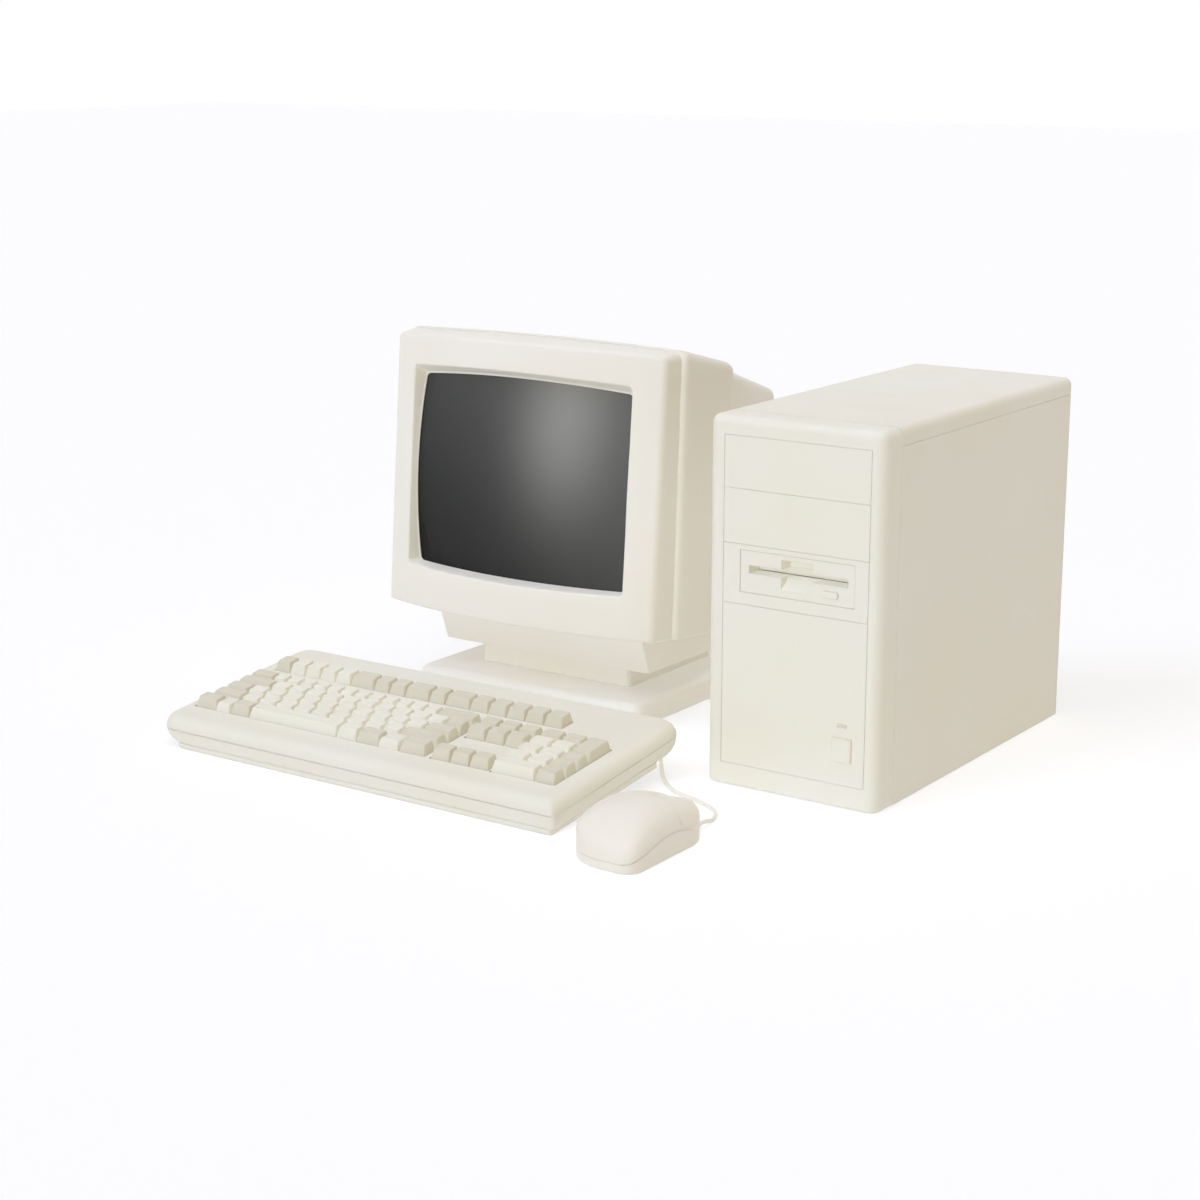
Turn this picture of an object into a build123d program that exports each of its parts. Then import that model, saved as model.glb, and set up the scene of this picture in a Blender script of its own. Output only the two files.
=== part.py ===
from build123d import *
import os
from math import cos, hypot, pi, radians, sin, tan

# A vintage home computer set: monitor, mini-tower, keyboard and mouse, each free-standing.
# Millimetres, +Z up, fronts toward -Y. Each unit is drawn in its own frame and then placed.

# ---- fits shared by every unit ----
seat = 0.3          # gap between pieces that are clipped or screwed together
slide_gap = 0.35    # gap round a button or a panel in its opening
pin_fit = 0.05      # radial play of a pin in its hole
sheet = 1.0         # folded steel
skin = 2.5          # moulded housing wall

# ---- tower ----
tower_w = 176.7
tower_h = 341.9
tower_d = 380.0
foot_h = 0.8
front_d = 31.5
front_corner_r = 10.0
cap_h = 16.1
cover_t = 1.2
bay_x0 = 16.6
bay_x1 = 164.6
bay_z = (21.9, 172.6, 227.6, 277.6, 325.2)
front_t = 3.0
disk_x0 = 34.6
disk_x1 = 150.6
disk_z0 = 184.2
disk_z1 = 222.5
disk_set_back = 0.8
disk_depth = 18.0
slit_x0 = 43.1
slit_x1 = 143.8
slit_z0 = 201.7
slit_z1 = 209.2
scoop_x0 = 76.7
scoop_x1 = 108.5
scoop_z0 = 190.9
scoop_z1 = 218.2
scoop_d = 16.0
flap_y = 19.2
flap_z = 210.3
flap_pin_r = 0.9
eject_x = 126.4
eject_z = 193.3
eject_w = 16.0
eject_h = 5.8
eject_travel = 2.5
power_x = 141.8
power_z = 54.3
power_w = 19.4
power_h = 21.6
power_proud = 2.2
power_travel = 3.0
lamp_x = 141.3
lamp_z = 76.5
lamp_w = 9.6
lamp_h = 3.3
floppy_w = 110.0
floppy_h = 34.0
floppy_l = 146.0
hard_w = 101.6
hard_h = 25.4
hard_l = 147.0
supply_w = 150.0
supply_h = 86.0
supply_l = 140.0
fan_r = 33.0
fan_pin_r = 3.0
fan_blades = 7
slot_count = 7
slot_pitch = 20.32
slot_first_z = 26.0
board_t = 1.6
screw_r = 1.8
screw_head_r = 3.6

# ---- monitor ----
base_w = 278.0
base_top = 24.0
base_edge_r = 8.0
pad_h = 4.0
neck_half_w = 93.0
neck_y0 = -87.0
neck_y1 = 66.0
neck_top = 47.3
swivel_r = 25.0
tilt_y = -10.5
tilt_z = 60.0
dome_r = 18.0
skirt_half_w = 127.5
skirt_y0 = -102.0
skirt_y1 = 81.0
skirt_lean = 0.357
head_y = -153.14
head_z = 94.5
head_lean = 4.9
face_half_w = 164.0
face_h = 277.0
face_bow = 28.7
seam_low_y = 33.0
seam_high_y = 24.0
screen_half_w = 132.5
screen_z0 = 41.4
screen_z1 = 244.7
glass_half_w = 142.0
glass_half_h = 107.0
glass_mid_z = 143.0
glass_front_y = -18.0
glass_ball_r = 560.0
case_half_w = 171.0
case_back_half_w = 169.0
case_top_front = 285.2
case_top_back = 271.0
case_back_y = 117.0
cone_half_w = 145.0
cone_back_half_w = 109.5
cone_top = 267.0
cone_back_y = 300.0
cone_back_z0 = 48.0
cone_back_top = 230.5
cone_edge_r = 12.0
yoke_y = 190.0
tube_neck_r = 14.6
tube_neck_end = 284.0

# ---- keyboard (u along the width, v up the slope, w square to the slope) ----
board_slope = 6.17
keys_w = 472.5
keys_d = 215.8
keys_front_v = -0.4
case_w0 = 4.8
case_w1 = 30.8
case_seam_w = 18.5
keys_left = -481.5
corner_key_left = -485.5
case_corner_r = 27.0
case_edge_r = 12.8
plinth_x0 = 27.0
plinth_x1 = 470.0
plinth_v1 = 168.7
cap_base_w = 29.0
cap_top_w = 40.6
cap_top_fall = 0.9
cap_gap = 0.5
cap_side_taper = 1.9
cap_front_taper = 5.0
cap_back_taper = 1.0
cap_wall = 1.4
row_pitch = 17.75
row_first_v = 33.7
row_depth = 17.4
function_v = 143.3
function_depth = 19.7
island_top_w = 38.9
stem_w = 5.2
stem_low_w = 17.5
plate_w0 = 19.0
plate_w1 = 21.0
circuit_w0 = 9.6
key_travel = 3.5
leg_v = 184.0
leg_w = 2.2
leg_pin_r = 1.5
leg_width = 30.0
leg_x = (70.0, 402.0)
bush_x = 458.0
bush_v = 190.0

# ---- mouse (nose toward +Y) ----
mouse_half_w = 39.5
mouse_half_l = 64.5
mouse_base_z = 0.4
mouse_wall = 2.2
mouse_nose_r = 38.5
mouse_tail_left_r = 46.0
mouse_tail_right_r = 15.0
mouse_foot_r = 1.6
seam_swing = 0.316
button_y = 10.0
button_drop = 1.4
button_rib = 2.0
ball_r = 11.0
ball_y = -14.0
ring_r = 15.4
roller_r = 2.5
cord_x = 22.0
cord_z = 7.0
cord_d = 4.0

# ---- where each unit stands before the set is centred ----
tower_at = (-3.5, 0.0)
monitor_at = (-281.0, 234.0)
keyboard_at = (-500.0, -205.7)
mouse_at = (45.2, -185.0)

pieces = {}


def block(x0, x1, y0, y1, z0, z1):
    """Box between opposite corners."""
    return Pos((x0 + x1) / 2, (y0 + y1) / 2, (z0 + z1) / 2) * Box(x1 - x0, y1 - y0, z1 - z0)


def rounded_block(x0, x1, y0, y1, z0, z1, r):
    """Box with its four upright edges rounded."""
    outline = RectangleRounded(x1 - x0, y1 - y0, r)
    return extrude(Pos((x0 + x1) / 2, (y0 + y1) / 2, z0) * outline, z1 - z0)


def rod(axis, x, y, z, r, length):
    """Round bar that starts at a point and runs along +X, +Y or +Z."""
    turn = {"x": Rot(0, 90, 0), "y": Rot(-90, 0, 0), "z": Rot(0, 0, 0)}[axis]
    return Pos(x, y, z) * turn * Cylinder(r, length, align=(Align.CENTER, Align.CENTER, Align.MIN))


def prism_x(points, x0, x1):
    """Side outline of (y, z) points carried across the width."""
    return extrude(Plane.YZ.offset(x0) * Polygon(*points, align=None), x1 - x0, dir=(1, 0, 0))


def prism_y(points, y0, y1):
    """Front outline of (x, z) points carried toward the back."""
    return extrude(Plane.XZ.offset(-y0) * Polygon(*points, align=None), y1 - y0, dir=(0, 1, 0))


def prism_z(points, z0, z1):
    """Plan outline of (x, y) points carried upward."""
    return extrude(Pos(0, 0, z0) * Polygon(*points, align=None), z1 - z0, dir=(0, 0, 1))


def near(shape, **want):
    """Edges whose middle lies at the wanted x, y or z."""
    found = []
    for edge in shape.edges():
        middle = edge.center()
        at = {"x": middle.X, "y": middle.Y, "z": middle.Z}
        if all(abs(at[k] - value) < 0.6 for k, value in want.items()):
            found.append(edge)
    return found


def keep(name, place, *shapes):
    """Puts solids of one node at their place in the shared frame."""
    solids = []
    for shape in shapes:
        solids += list((place * shape).solids())
    pieces[name] = solids


# ======================= tower =======================

def tower_front():
    """Moulded front: rounded shell, framed opening and the bars behind the panel seams."""
    body = block(0, tower_w, 0, front_d, foot_h, tower_h)
    body = fillet(near(body, x=0, y=0) + near(body, x=tower_w, y=0), front_corner_r)
    top = [e for e in near(body, z=tower_h) if e.center().Y < front_d - 1]
    body = fillet(top, 8)
    low = [e for e in near(body, z=foot_h) if e.center().Y < front_d - 1]
    body = fillet(low, 3)
    hollow = block(skin, tower_w - skin, skin, front_d + 1, foot_h + skin, tower_h - skin)
    hollow = fillet(near(hollow, x=skin, y=skin) + near(hollow, x=tower_w - skin, y=skin), front_corner_r - skin)
    hollow = fillet([e for e in near(hollow, z=tower_h - skin) if e.center().Y < front_d], 5.5)
    x0, x1, z0, z1 = bay_x0, bay_x1, bay_z[0], bay_z[-1]
    frame = block(x0 - 2, x1 + 2, skin - 0.5, 18, z0 - 2, z1 + 2)
    body = body - hollow + frame - block(x0, x1, -1, 19, z0, z1)
    for z in bay_z[1:-1]:
        body += block(x0 - 0.5, x1 + 0.5, front_t + seat, 14, z - 1.5, z + 1.5)
    edge = near(body, x=0, y=front_d) + near(body, x=tower_w, y=front_d)
    return chamfer(edge, 1.2)


def front_panel(z0, z1, ribs):
    """Flat cover that clips into the opening of the front by two side tongues."""
    x0, x1 = bay_x0 + slide_gap, bay_x1 - slide_gap
    low, high = z0 + slide_gap / 2, z1 - slide_gap / 2
    middle = (z0 + z1) / 2
    panel = block(x0, x1, 0, front_t, low, high)
    for side in (x0, x1 - 1.8):
        panel += block(side, side + 1.8, front_t, 16, middle - 12, middle + 12)
    for z in ribs:
        panel += block(x0 + 6, x1 - 6, front_t, 8, z - 0.8, z + 0.8)
    return panel


def disk_panel():
    """Floppy bay panel: a cover with a framed window for the drive's own front."""
    g = slide_gap
    panel = front_panel(bay_z[1], bay_z[2], ())
    panel += block(disk_x0 - g - 2, disk_x1 + g + 2, front_t, 16, disk_z0 - g - 2, disk_z1 + g + 2)
    return panel - block(disk_x0 - g, disk_x1 + g, -1, 17, disk_z0 - g, disk_z1 + g)


def disk_front():
    """Front of the floppy drive: thin wall, rim, disk slit duct, finger scoop and button hole."""
    y0, wall = disk_set_back, 1.8
    plate = block(disk_x0, disk_x1, y0, disk_depth, disk_z0, disk_z1)
    plate -= block(disk_x0 + wall, disk_x1 - wall, y0 + 2.2, disk_depth + 1, disk_z0 + wall, disk_z1 - wall)
    plate += block(slit_x0 - wall, slit_x1 + wall, y0, disk_depth, slit_z0 - wall, slit_z1 + wall)
    plate += prism_x(((y0, scoop_z0 - 1), (y0, scoop_z1 + wall), (disk_depth, scoop_z1 + wall),
                      (disk_depth, 202.0)), scoop_x0 - wall, scoop_x1 + wall)
    plate -= block(slit_x0, slit_x1, y0 - 1, disk_depth + 1, slit_z0, slit_z1)
    plate -= prism_x(((y0 - 0.4, scoop_z0), (y0 - 0.4, scoop_z1), (scoop_d, scoop_z1),
                      (scoop_d, 204.0)), scoop_x0, scoop_x1)
    return plate - eject_shape(y0 - 1, 8, slide_gap)


def eject_shape(y0, y1, grow):
    """Stadium outline of the eject button, grown by the play round it."""
    outline = SlotOverall(eject_w + 2 * grow, eject_h + 2 * grow)
    return extrude(Pos(eject_x, y0, eject_z) * Rot(90, 0, 0) * outline, -(y1 - y0))


def eject_button():
    """Eject button with the stem that reaches toward the drive."""
    return eject_shape(disk_set_back - 1.4, 7, 0) + block(eject_x - 3, eject_x + 3, 7, 17.4, eject_z - 1.8, eject_z + 1.8)


def disk_flap():
    """Flap behind the slit, hung on a pin along its upper edge."""
    flap = block(slit_x0 + 0.4, slit_x1 - 0.4, flap_y - 0.5, flap_y + 0.5, slit_z0 + 0.4, flap_z)
    return flap + rod("x", slit_x0 - 2.4, flap_y, flap_z, flap_pin_r, slit_x1 - slit_x0 + 4.8)


def floppy_drive():
    """Drive case with its open mouth, flap lugs, spindle hub and head carriage."""
    middle = (slit_x0 + slit_x1) / 2
    x0, x1 = middle - floppy_w / 2, middle + floppy_w / 2
    y0, z0 = disk_depth + 2.6, disk_z0 + 2.4
    case = block(x0, x1, y0, y0 + floppy_l, z0, z0 + floppy_h)
    case -= block(x0 + sheet, x1 - sheet, y0 + sheet, y0 + floppy_l - sheet, z0 + sheet, z0 + floppy_h - sheet)
    case -= block(slit_x0 - 0.5, slit_x1 + 0.5, y0 - 1, y0 + 3, slit_z0 - 1.5, flap_z + 3)
    for x in (slit_x0 - 2.6, slit_x1 + 0.2):
        lug = block(x, x + 2.4, disk_depth + seat, y0 + sheet, flap_z - 2.2, flap_z + 2.6)
        case += lug - rod("x", x - 1, flap_y, flap_z, flap_pin_r + pin_fit, 5)
    case += rod("z", middle, y0 + 60, z0 + 0.5, 14, 8)
    case += block(middle - 12, middle + 12, y0 + 95, y0 + 125, z0 + 0.5, z0 + 16)
    return case


def power_hole(y0, y1, grow):
    """Rectangle of the power button, grown by the play round it."""
    w, h = power_w / 2 + grow, power_h / 2 + grow
    return block(power_x - w, power_x + w, y0, y1, power_z - h, power_z + h)


def lower_panel():
    """Tall plain panel with the guide of the power button and the lamp hole."""
    panel = front_panel(bay_z[0], bay_z[1], (95, 120, 150))
    panel += power_hole(0.5, 13, slide_gap + 1.6) - power_hole(0, 14, slide_gap)
    panel -= power_hole(-1, 14, slide_gap)
    return panel - block(lamp_x - lamp_w / 2 - 0.1, lamp_x + lamp_w / 2 + 0.1, -1, 4,
                         lamp_z - lamp_h / 2 - 0.1, lamp_z + lamp_h / 2 + 0.1)


def power_button():
    """Hollow square button with the stem that works the switch."""
    button = power_hole(-power_proud, 12, 0)
    button = fillet([e for e in near(button, y=-power_proud)], 0.8)
    button -= power_hole(0, 13, -1.6)
    stem_end = 22.9
    return button + block(power_x - 3, power_x + 3, -0.5, stem_end, power_z - 3, power_z + 3)


def power_switch():
    """Switch body screwed to the front wall of the chassis behind the button."""
    body = block(power_x - 8, power_x + 8, front_d - 1.5, front_d + sheet + 18, power_z - 8, power_z + 8)
    nose = block(power_x - 4, power_x + 4, 22.9 + power_travel + 0.4, front_d - 1.5, power_z - 4, power_z + 4)
    return body + nose


def lamp_lens():
    """Small lens of the power lamp."""
    lens = block(lamp_x - lamp_w / 2, lamp_x + lamp_w / 2, -0.5, 6, lamp_z - lamp_h / 2, lamp_z + lamp_h / 2)
    return lens + block(lamp_x - lamp_w / 2 - 1, lamp_x + lamp_w / 2 + 1, front_t + 0.1, 5,
                        lamp_z - lamp_h / 2 - 1, lamp_z + lamp_h / 2 + 1)


def side_panel():
    """Right side panel with its folded front, bottom and rear flanges."""
    z0, z1 = foot_h + 0.5, tower_h - cap_h - seat
    y0 = front_d + 0.4
    x = tower_w
    outer = block(x - cover_t, x, y0, tower_d, z0, z1)
    outer = chamfer(near(outer, x=x, y=y0), 0.9)
    outer += block(x - 6, x - 0.4, y0 + 0.1, y0 + 1.1, z0 + 2.7, z1)
    outer += block(x - 8, x - 0.4, y0, tower_d, z0, z0 + 1)
    outer += block(x - 13, x - 0.4, tower_d - 0.9, tower_d, z0, z1)
    for z in (40, 160, 290):
        outer -= rod("y", x - 8, tower_d - 2, z, screw_r + 0.2, 4)
    return outer


def mirrored(shape):
    """The same piece on the other side of the tower."""
    return Pos(tower_w / 2, 0, 0) * mirror(Pos(-tower_w / 2, 0, 0) * shape, about=Plane.YZ)


def top_cover():
    """Cap over the top: rounded long edges and a folded rear flange."""
    y0 = front_d + 0.4
    outer = block(0, tower_w, y0, tower_d, tower_h - cap_h, tower_h)
    outer = fillet(near(outer, x=0, z=tower_h) + near(outer, x=tower_w, z=tower_h), 8)
    t = cover_t
    inner = block(t, tower_w - t, y0 - 1, tower_d - 0.9, tower_h - cap_h - 1, tower_h - t)
    inner = fillet(near(inner, x=t, z=tower_h - t) + near(inner, x=tower_w - t, z=tower_h - t), 6.8)
    cap = outer - inner
    for x in (50, 123.2):
        cap -= rod("y", x, tower_d - 2, tower_h - 8, screw_r + 0.2, 4)
    return cap - block(1.6, tower_w - 1.6, tower_d - 2, tower_d + 1, tower_h - cap_h - 1, tower_h - cap_h + 1)


def slot_z(i):
    """Height of the i-th plug-in slot."""
    return slot_first_z + slot_pitch * i


def chassis():
    """Folded steel frame: floor, front and rear walls, top, board tray and drive cage."""
    x0, x1, y0, y1 = 1.6, tower_w - 1.6, front_d + 0.5, tower_d - 1.2
    z0, z1 = foot_h + 1.9, tower_h - 1.6
    s = sheet
    wall_x0, wall_x1 = 6.5, tower_w - 6.5
    frame = block(x0, x1, y0, y1, z0, z0 + s)
    front = block(wall_x0, wall_x1, y0, y0 + s, z0, z1)
    front -= block(bay_x0 - 1, bay_x1 + 1, y0 - 1, y0 + 2, 128, bay_z[-1] + 4)
    front -= block(power_x - 8.3, power_x + 8.3, y0 - 1, y0 + 2, power_z - 8.3, power_z + 8.3)
    frame += front
    rear = block(x0, x1, y1 - s, y1, z0, z1)
    rear -= rod("y", tower_w / 2 - 22, y1 - 2, 295, fan_r + 3, 4)
    rear -= block(118, 148, y1 - 2, y1 + 1, 268, 324)
    for i in range(slot_count):
        rear -= block(54, 150, y1 - 2, y1 + 1, slot_z(i) - 6, slot_z(i) + 6)
    rear -= rod("y", tower_w - 26, y1 - 2, 215, 8.5, 4)
    for z in (40, 160, 290):
        for x in (8, tower_w - 8):
            rear -= rod("y", x, y1 - 2, z, screw_r + 0.05, 4)
    for x in (50, 123.2):
        rear -= rod("y", x, y1 - 2, tower_h - 8, screw_r + 0.05, 4)
    frame += rear
    frame += block(x0, x1, y0, y1, z1 - s, z1)
    for x in (x0, x1 - s):
        frame += block(x, x + s, y0 + 2, y1, tower_h - 24, z1)
        frame += block(x, x + s, y0 + 2, y1, z0, z0 + 9)
    tray_x = tower_w - 10
    frame += block(tray_x, tray_x + s, 150, y1 - s, z0, 246)
    for y in (165, 262, 360):
        for z in (24, 122, 224):
            frame += rod("x", tower_w - 14 + seat, y, z, 3, 4 - seat + 0.2)
    for x in (bay_x0 - 1.7, bay_x1 + 0.7):
        frame += block(x, x + s, y0, 146, 128, z1)
    for z in (138, 185, 226):
        frame += block(bay_x0 - 1.2, bay_x1 + 1.2, y0 + 8, 146, z, z + s)
    frame += block(bay_x0 - 1.7, x1, 236, y1, 250.6, 251.6)
    envelope = block(x0, x1, y0 - 1, y1 + 1, z0, z1)
    return frame & fillet(near(envelope, x=x0, z=z1) + near(envelope, x=x1, z=z1), 6.4)


def supply_case():
    """Power supply box with a barred fan outlet, the fan pin and the inlet window."""
    x0, y0, z0 = 11.6, tower_d - 2.5 - supply_l, 251.9
    x1, y1, z1 = x0 + supply_w, y0 + supply_l, z0 + supply_h
    fan_x, fan_z = tower_w / 2 - 22, 295
    box = block(x0, x1, y0, y1, z0, z1) - block(x0 + sheet, x1 - sheet, y0 + sheet, y1 - sheet, z0 + sheet, z1 - sheet)
    box -= rod("y", fan_x, y1 - 2, fan_z, fan_r + 2, 4)
    for turn in (0, 60, 120):
        bar = Pos(fan_x, y1 - sheet / 2, fan_z) * Rot(0, turn, 0) * Box(2 * fan_r + 5, sheet, 3)
        box += bar
    box += rod("y", fan_x, y1 - sheet, fan_z, 15, sheet)
    box += rod("y", fan_x, y1 - 17, fan_z, fan_pin_r, 16.5)
    for i in range(4):
        box -= block(x0 + 20, x1 - 20, y0 - 1, y0 + 2, z0 + 18 + 14 * i, z0 + 22 + 14 * i)
    return box - block(121, 149, y1 - 2, y1 + 1, 271, 292)


def supply_fan():
    """Fan rotor: hub and pitched blades that turn on the pin of the box."""
    fan_x, fan_z, y = tower_w / 2 - 22, 295, tower_d - 2.5 - 18
    hub = rod("y", 0, 0, 0, 15, 12)
    blade = Pos(23.4, 6, 0) * Rot(35, 0, 0) * Box(18.6, 1.6, 14)
    rotor = hub
    for i in range(fan_blades):
        rotor += Rot(0, 360 / fan_blades * i, 0) * blade
    return Pos(fan_x, y, fan_z) * (rotor - rod("y", 0, -1, 0, fan_pin_r + pin_fit, 14))


def mains_inlet(x, y, z, wall):
    """Three-pin mains inlet: body, flange behind the wall and recess."""
    body = block(x - 13.6, x + 13.6, y - 18, y + 0.2, z - 10, z + 10)
    body += block(x - 16.5, x + 16.5, y - wall - seat - 1.8, y - wall - seat, z - 12, z + 12)
    body -= block(x - 11.6, x + 11.6, y - 14, y + 1, z - 8, z + 8)
    for dx, dz in ((-7, -2), (0, 2), (7, -2)):
        body += block(x + dx - 1, x + dx + 1, y - 15, y - 3, z + dz - 2, z + dz + 2)
    return body


def main_board():
    """Main board with slot connectors, processor, memory, chips and the keyboard socket."""
    x = tower_w - 14
    board = block(x - board_t, x, 150, 372, 12, 236)
    face = x - board_t
    for i in range(slot_count):
        board += block(face - 11, face + 0.1, 245, 365, slot_z(i) - 4, slot_z(i) + 4)
    board += block(face - 16, face + 0.1, 160, 206, 40, 86)
    for z in (120, 129, 138, 147):
        board += block(face - 22, face + 0.1, 158, 236, z - 2, z + 2)
    for y, z in ((165, 165), (200, 165), (165, 195), (200, 195), (240, 195)):
        board += block(face - 3, face + 0.1, y, y + 24, z, z + 24)
    socket = block(face - 20, face + 0.1, 358, 377.2, 205, 225)
    return board + socket - rod("y", tower_w - 26, 365, 215, 6.6, 20)


def slot_bracket(i):
    """Steel strip that closes one slot opening from inside."""
    y1 = tower_d - 2.2 - seat
    return block(50, 154, y1 - 1, y1, slot_z(i) - 9, slot_z(i) + 9)


def plug_in_card():
    """Plug-in card: board, chips and its bracket with the picture socket."""
    z = slot_z(3)
    x1 = tower_w - 14 - board_t - 11 - seat
    card = block(x1 - 98, x1, 225, 375, z - board_t / 2, z + board_t / 2)
    card += block(x1 - 2, x1, 250, 360, z - 3.4, z + 3.4)
    for x, y in ((60, 250), (60, 290), (95, 250), (95, 300)):
        card += block(x, x + 22, y, y + 28, z, z + 4)
    card += slot_bracket(3) + block(60, 92, 355, 376, z - 6, z + 0.5)
    return card + block(64, 88, 376, tower_d + 2.5, z - 5, z + 5)


def hard_drive():
    """Hard drive: cast body with a stepped lid and the circuit board under it."""
    x0, y0, z0 = 28, 45, 139.3
    body = block(x0, x0 + hard_w, y0, y0 + hard_l, z0, z0 + hard_h)
    body -= block(x0 + 4, x0 + hard_w - 4, y0 - 1, y0 + hard_l + 1, z0 - 1, z0 + 3)
    body += block(x0 + 8, x0 + hard_w - 8, y0 + 3, y0 + hard_l - 3, z0 + 1, z0 + 3.2)
    return body - (block(x0 - 1, x0 + hard_w + 1, y0 - 1, y0 + hard_l + 1, z0 + hard_h - 2, z0 + hard_h + 1)
                   - block(x0 + 5, x0 + hard_w - 5, y0 + 5, y0 + hard_l - 5, z0 + hard_h - 3, z0 + hard_h + 2))


def screws():
    """Pan-head screws that hold the covers to the rear wall."""
    found = []
    spots = [(x, z) for z in (40, 160, 290) for x in (8, tower_w - 8)] + [(50, tower_h - 8), (123.2, tower_h - 8)]
    for x, z in spots:
        found.append(rod("y", x, tower_d - 2.1, z, screw_r, 2.6) + rod("y", x, tower_d + 0.1, z, screw_head_r, 2))
    return found


def build_tower():
    """All pieces of the tower."""
    at = Pos(tower_at[0], tower_at[1], 0)
    keep("tower_front_bezel", at, tower_front())
    keep("blank_bay_covers", at, front_panel(bay_z[3], bay_z[4], (290, 301, 312)),
         front_panel(bay_z[2], bay_z[3], (241, 252, 264)))
    keep("floppy_bay_panel", at, disk_panel())
    keep("floppy_front_plate", at, disk_front())
    keep("floppy_slot_flap", at, disk_flap())
    keep("eject_button", at, eject_button())
    keep("floppy_drive", at, floppy_drive())
    keep("lower_front_panel", at, lower_panel())
    keep("power_button", at, power_button())
    keep("power_switch", at, power_switch())
    keep("power_lamp_lens", at, lamp_lens())
    keep("tower_top_cover", at, top_cover())
    keep("tower_side_panel_right", at, side_panel())
    keep("tower_side_panel_left", at, mirrored(side_panel()))
    keep("tower_chassis", at, chassis())
    keep("power_supply_case", at, supply_case())
    keep("power_supply_fan", at, supply_fan())
    keep("power_supply_inlet", at, mains_inlet(135, tower_d - 2.5, 281.5, sheet))
    keep("tower_main_board", at, main_board())
    keep("plug_in_card", at, plug_in_card())
    keep("slot_covers", at, *[slot_bracket(i) for i in range(slot_count) if i != 3])
    keep("hard_drive", at, hard_drive())
    keep("case_screws", at, *screws())
    feet = [rod("z", x, y, 0, 9, foot_h + 1.9 - seat) for x in (22, tower_w - 22) for y in (60, tower_d - 30)]
    keep("tower_feet", at, *feet)


# ======================= monitor =======================

def monitor_base():
    """Base plate: soft-edged open-bottomed moulding with a hub bore, ribs and pad bosses."""
    h = base_w / 2
    plate = rounded_block(-h, h, -h, h, pad_h - 2.5, base_top, 10)
    plate = fillet(near(plate, z=base_top), base_edge_r)
    plate -= rounded_block(-h + 3, h - 3, -h + 3, h - 3, 0, base_top - 9, 7)
    plate -= rounded_block(-h + 9, h - 9, -h + 9, h - 9, 0, base_top - 3, 7)
    plate += rod("z", 0, 0, pad_h - 2.5, swivel_r + 9, base_top - pad_h)
    for turn in (45, 135):
        plate += Rot(0, 0, turn) * block(-160, 160, -1.25, 1.25, 6, base_top - 2)
    for x in (-118, 118):
        for y in (-118, 118):
            plate += rod("z", x, y, 0, 10, base_top - 3)
    return plate - rod("z", 0, 0, -1, swivel_r + pin_fit * 2, base_top + 2)


def monitor_neck():
    """Neck block that turns on the base plate, with the tilt dome on top."""
    z0 = base_top + seat
    neck = rounded_block(-neck_half_w, neck_half_w, neck_y0, neck_y1, z0, neck_top, 4)
    neck -= rounded_block(-neck_half_w + 3, neck_half_w - 3, neck_y0 + 3, neck_y1 - 3, z0 - 1, neck_top - 3, 3)
    neck += rod("z", 0, 0, 5, swivel_r, neck_top - 6)
    neck -= rod("z", 0, 0, 4, swivel_r - 4, neck_top - 12)
    neck += block(-70, 70, tilt_y - 13, tilt_y + 13, neck_top - 1, tilt_z)
    return neck + rod("x", -70, tilt_y, tilt_z, dome_r, 140)


def head_place():
    """Placement of the tilted monitor head in the monitor's own frame."""
    return Pos(0, head_y, head_z) * Rot(-head_lean, 0, 0)


def underside_z(y):
    """Height of the head's underside above the floor at a depth y of the stand."""
    return head_z - (y - head_y) * tan(radians(head_lean))


def monitor_skirt():
    """Skirt under the head: leaning front, sloping top and the saddle of the tilt dome."""
    def outline(inset, drop):
        y0, y1 = skirt_y0 + inset, skirt_y1 - inset
        z1a = underside_z(y0 - 15) - seat - drop
        z1b = underside_z(y1 + 5) - seat - drop
        return ((y0, neck_top), (y0 - (z1a - neck_top) * skirt_lean, z1a), (y1 + 5, z1b), (y1, neck_top))
    skirt = prism_x(outline(0, 0), -skirt_half_w, skirt_half_w)
    inner = prism_x(outline(skin, skin), -skirt_half_w + skin, skirt_half_w - skin)
    inner += prism_x(((skirt_y0 + skin, neck_top - 1), (skirt_y0 + skin, neck_top + 1),
                      (skirt_y1 - skin, neck_top + 1), (skirt_y1 - skin, neck_top - 1)),
                     -skirt_half_w + skin, skirt_half_w - skin)
    skirt -= inner
    top = underside_z(tilt_y) - 2
    saddle = block(-60, 60, tilt_y - 26, tilt_y + 26, tilt_z + 3, top)
    saddle -= rod("x", -61, tilt_y, tilt_z, dome_r + seat, 122)
    return skirt + saddle


def face_plan(inset):
    """Plan of the bowed face: an arc across the front and straight sides to the back."""
    h = face_half_w - inset
    bow = face_bow * (h / face_half_w) ** 2
    front = ThreePointArc((-h, inset), (0, inset - bow), (h, inset))
    sides = Polyline((h, inset), (h + 2, 45), (-h - 2, 45), (-h, inset))
    return make_face(front + sides)


def reveal(grow):
    """Sloping passage through the face to the glass."""
    def frame(y, half_w, z0, z1):
        return Plane.XZ.offset(-y) * Pos(0, (z0 + z1) / 2) * Rectangle(2 * half_w + 2 * grow, z1 - z0 + 2 * grow)
    outer = frame(-36, screen_half_w + 12.3, screen_z0 - 1.6, screen_z1 + 2.7)
    inner = frame(12, screen_half_w - 10.4, screen_z0 + 5.2, screen_z1 - 9.2)
    return loft([inner, outer])


def glass_ball(grow):
    """Sphere that gives the tube face its bulge."""
    return Pos(0, glass_front_y + glass_ball_r, glass_mid_z) * Sphere(glass_ball_r + grow)


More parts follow.
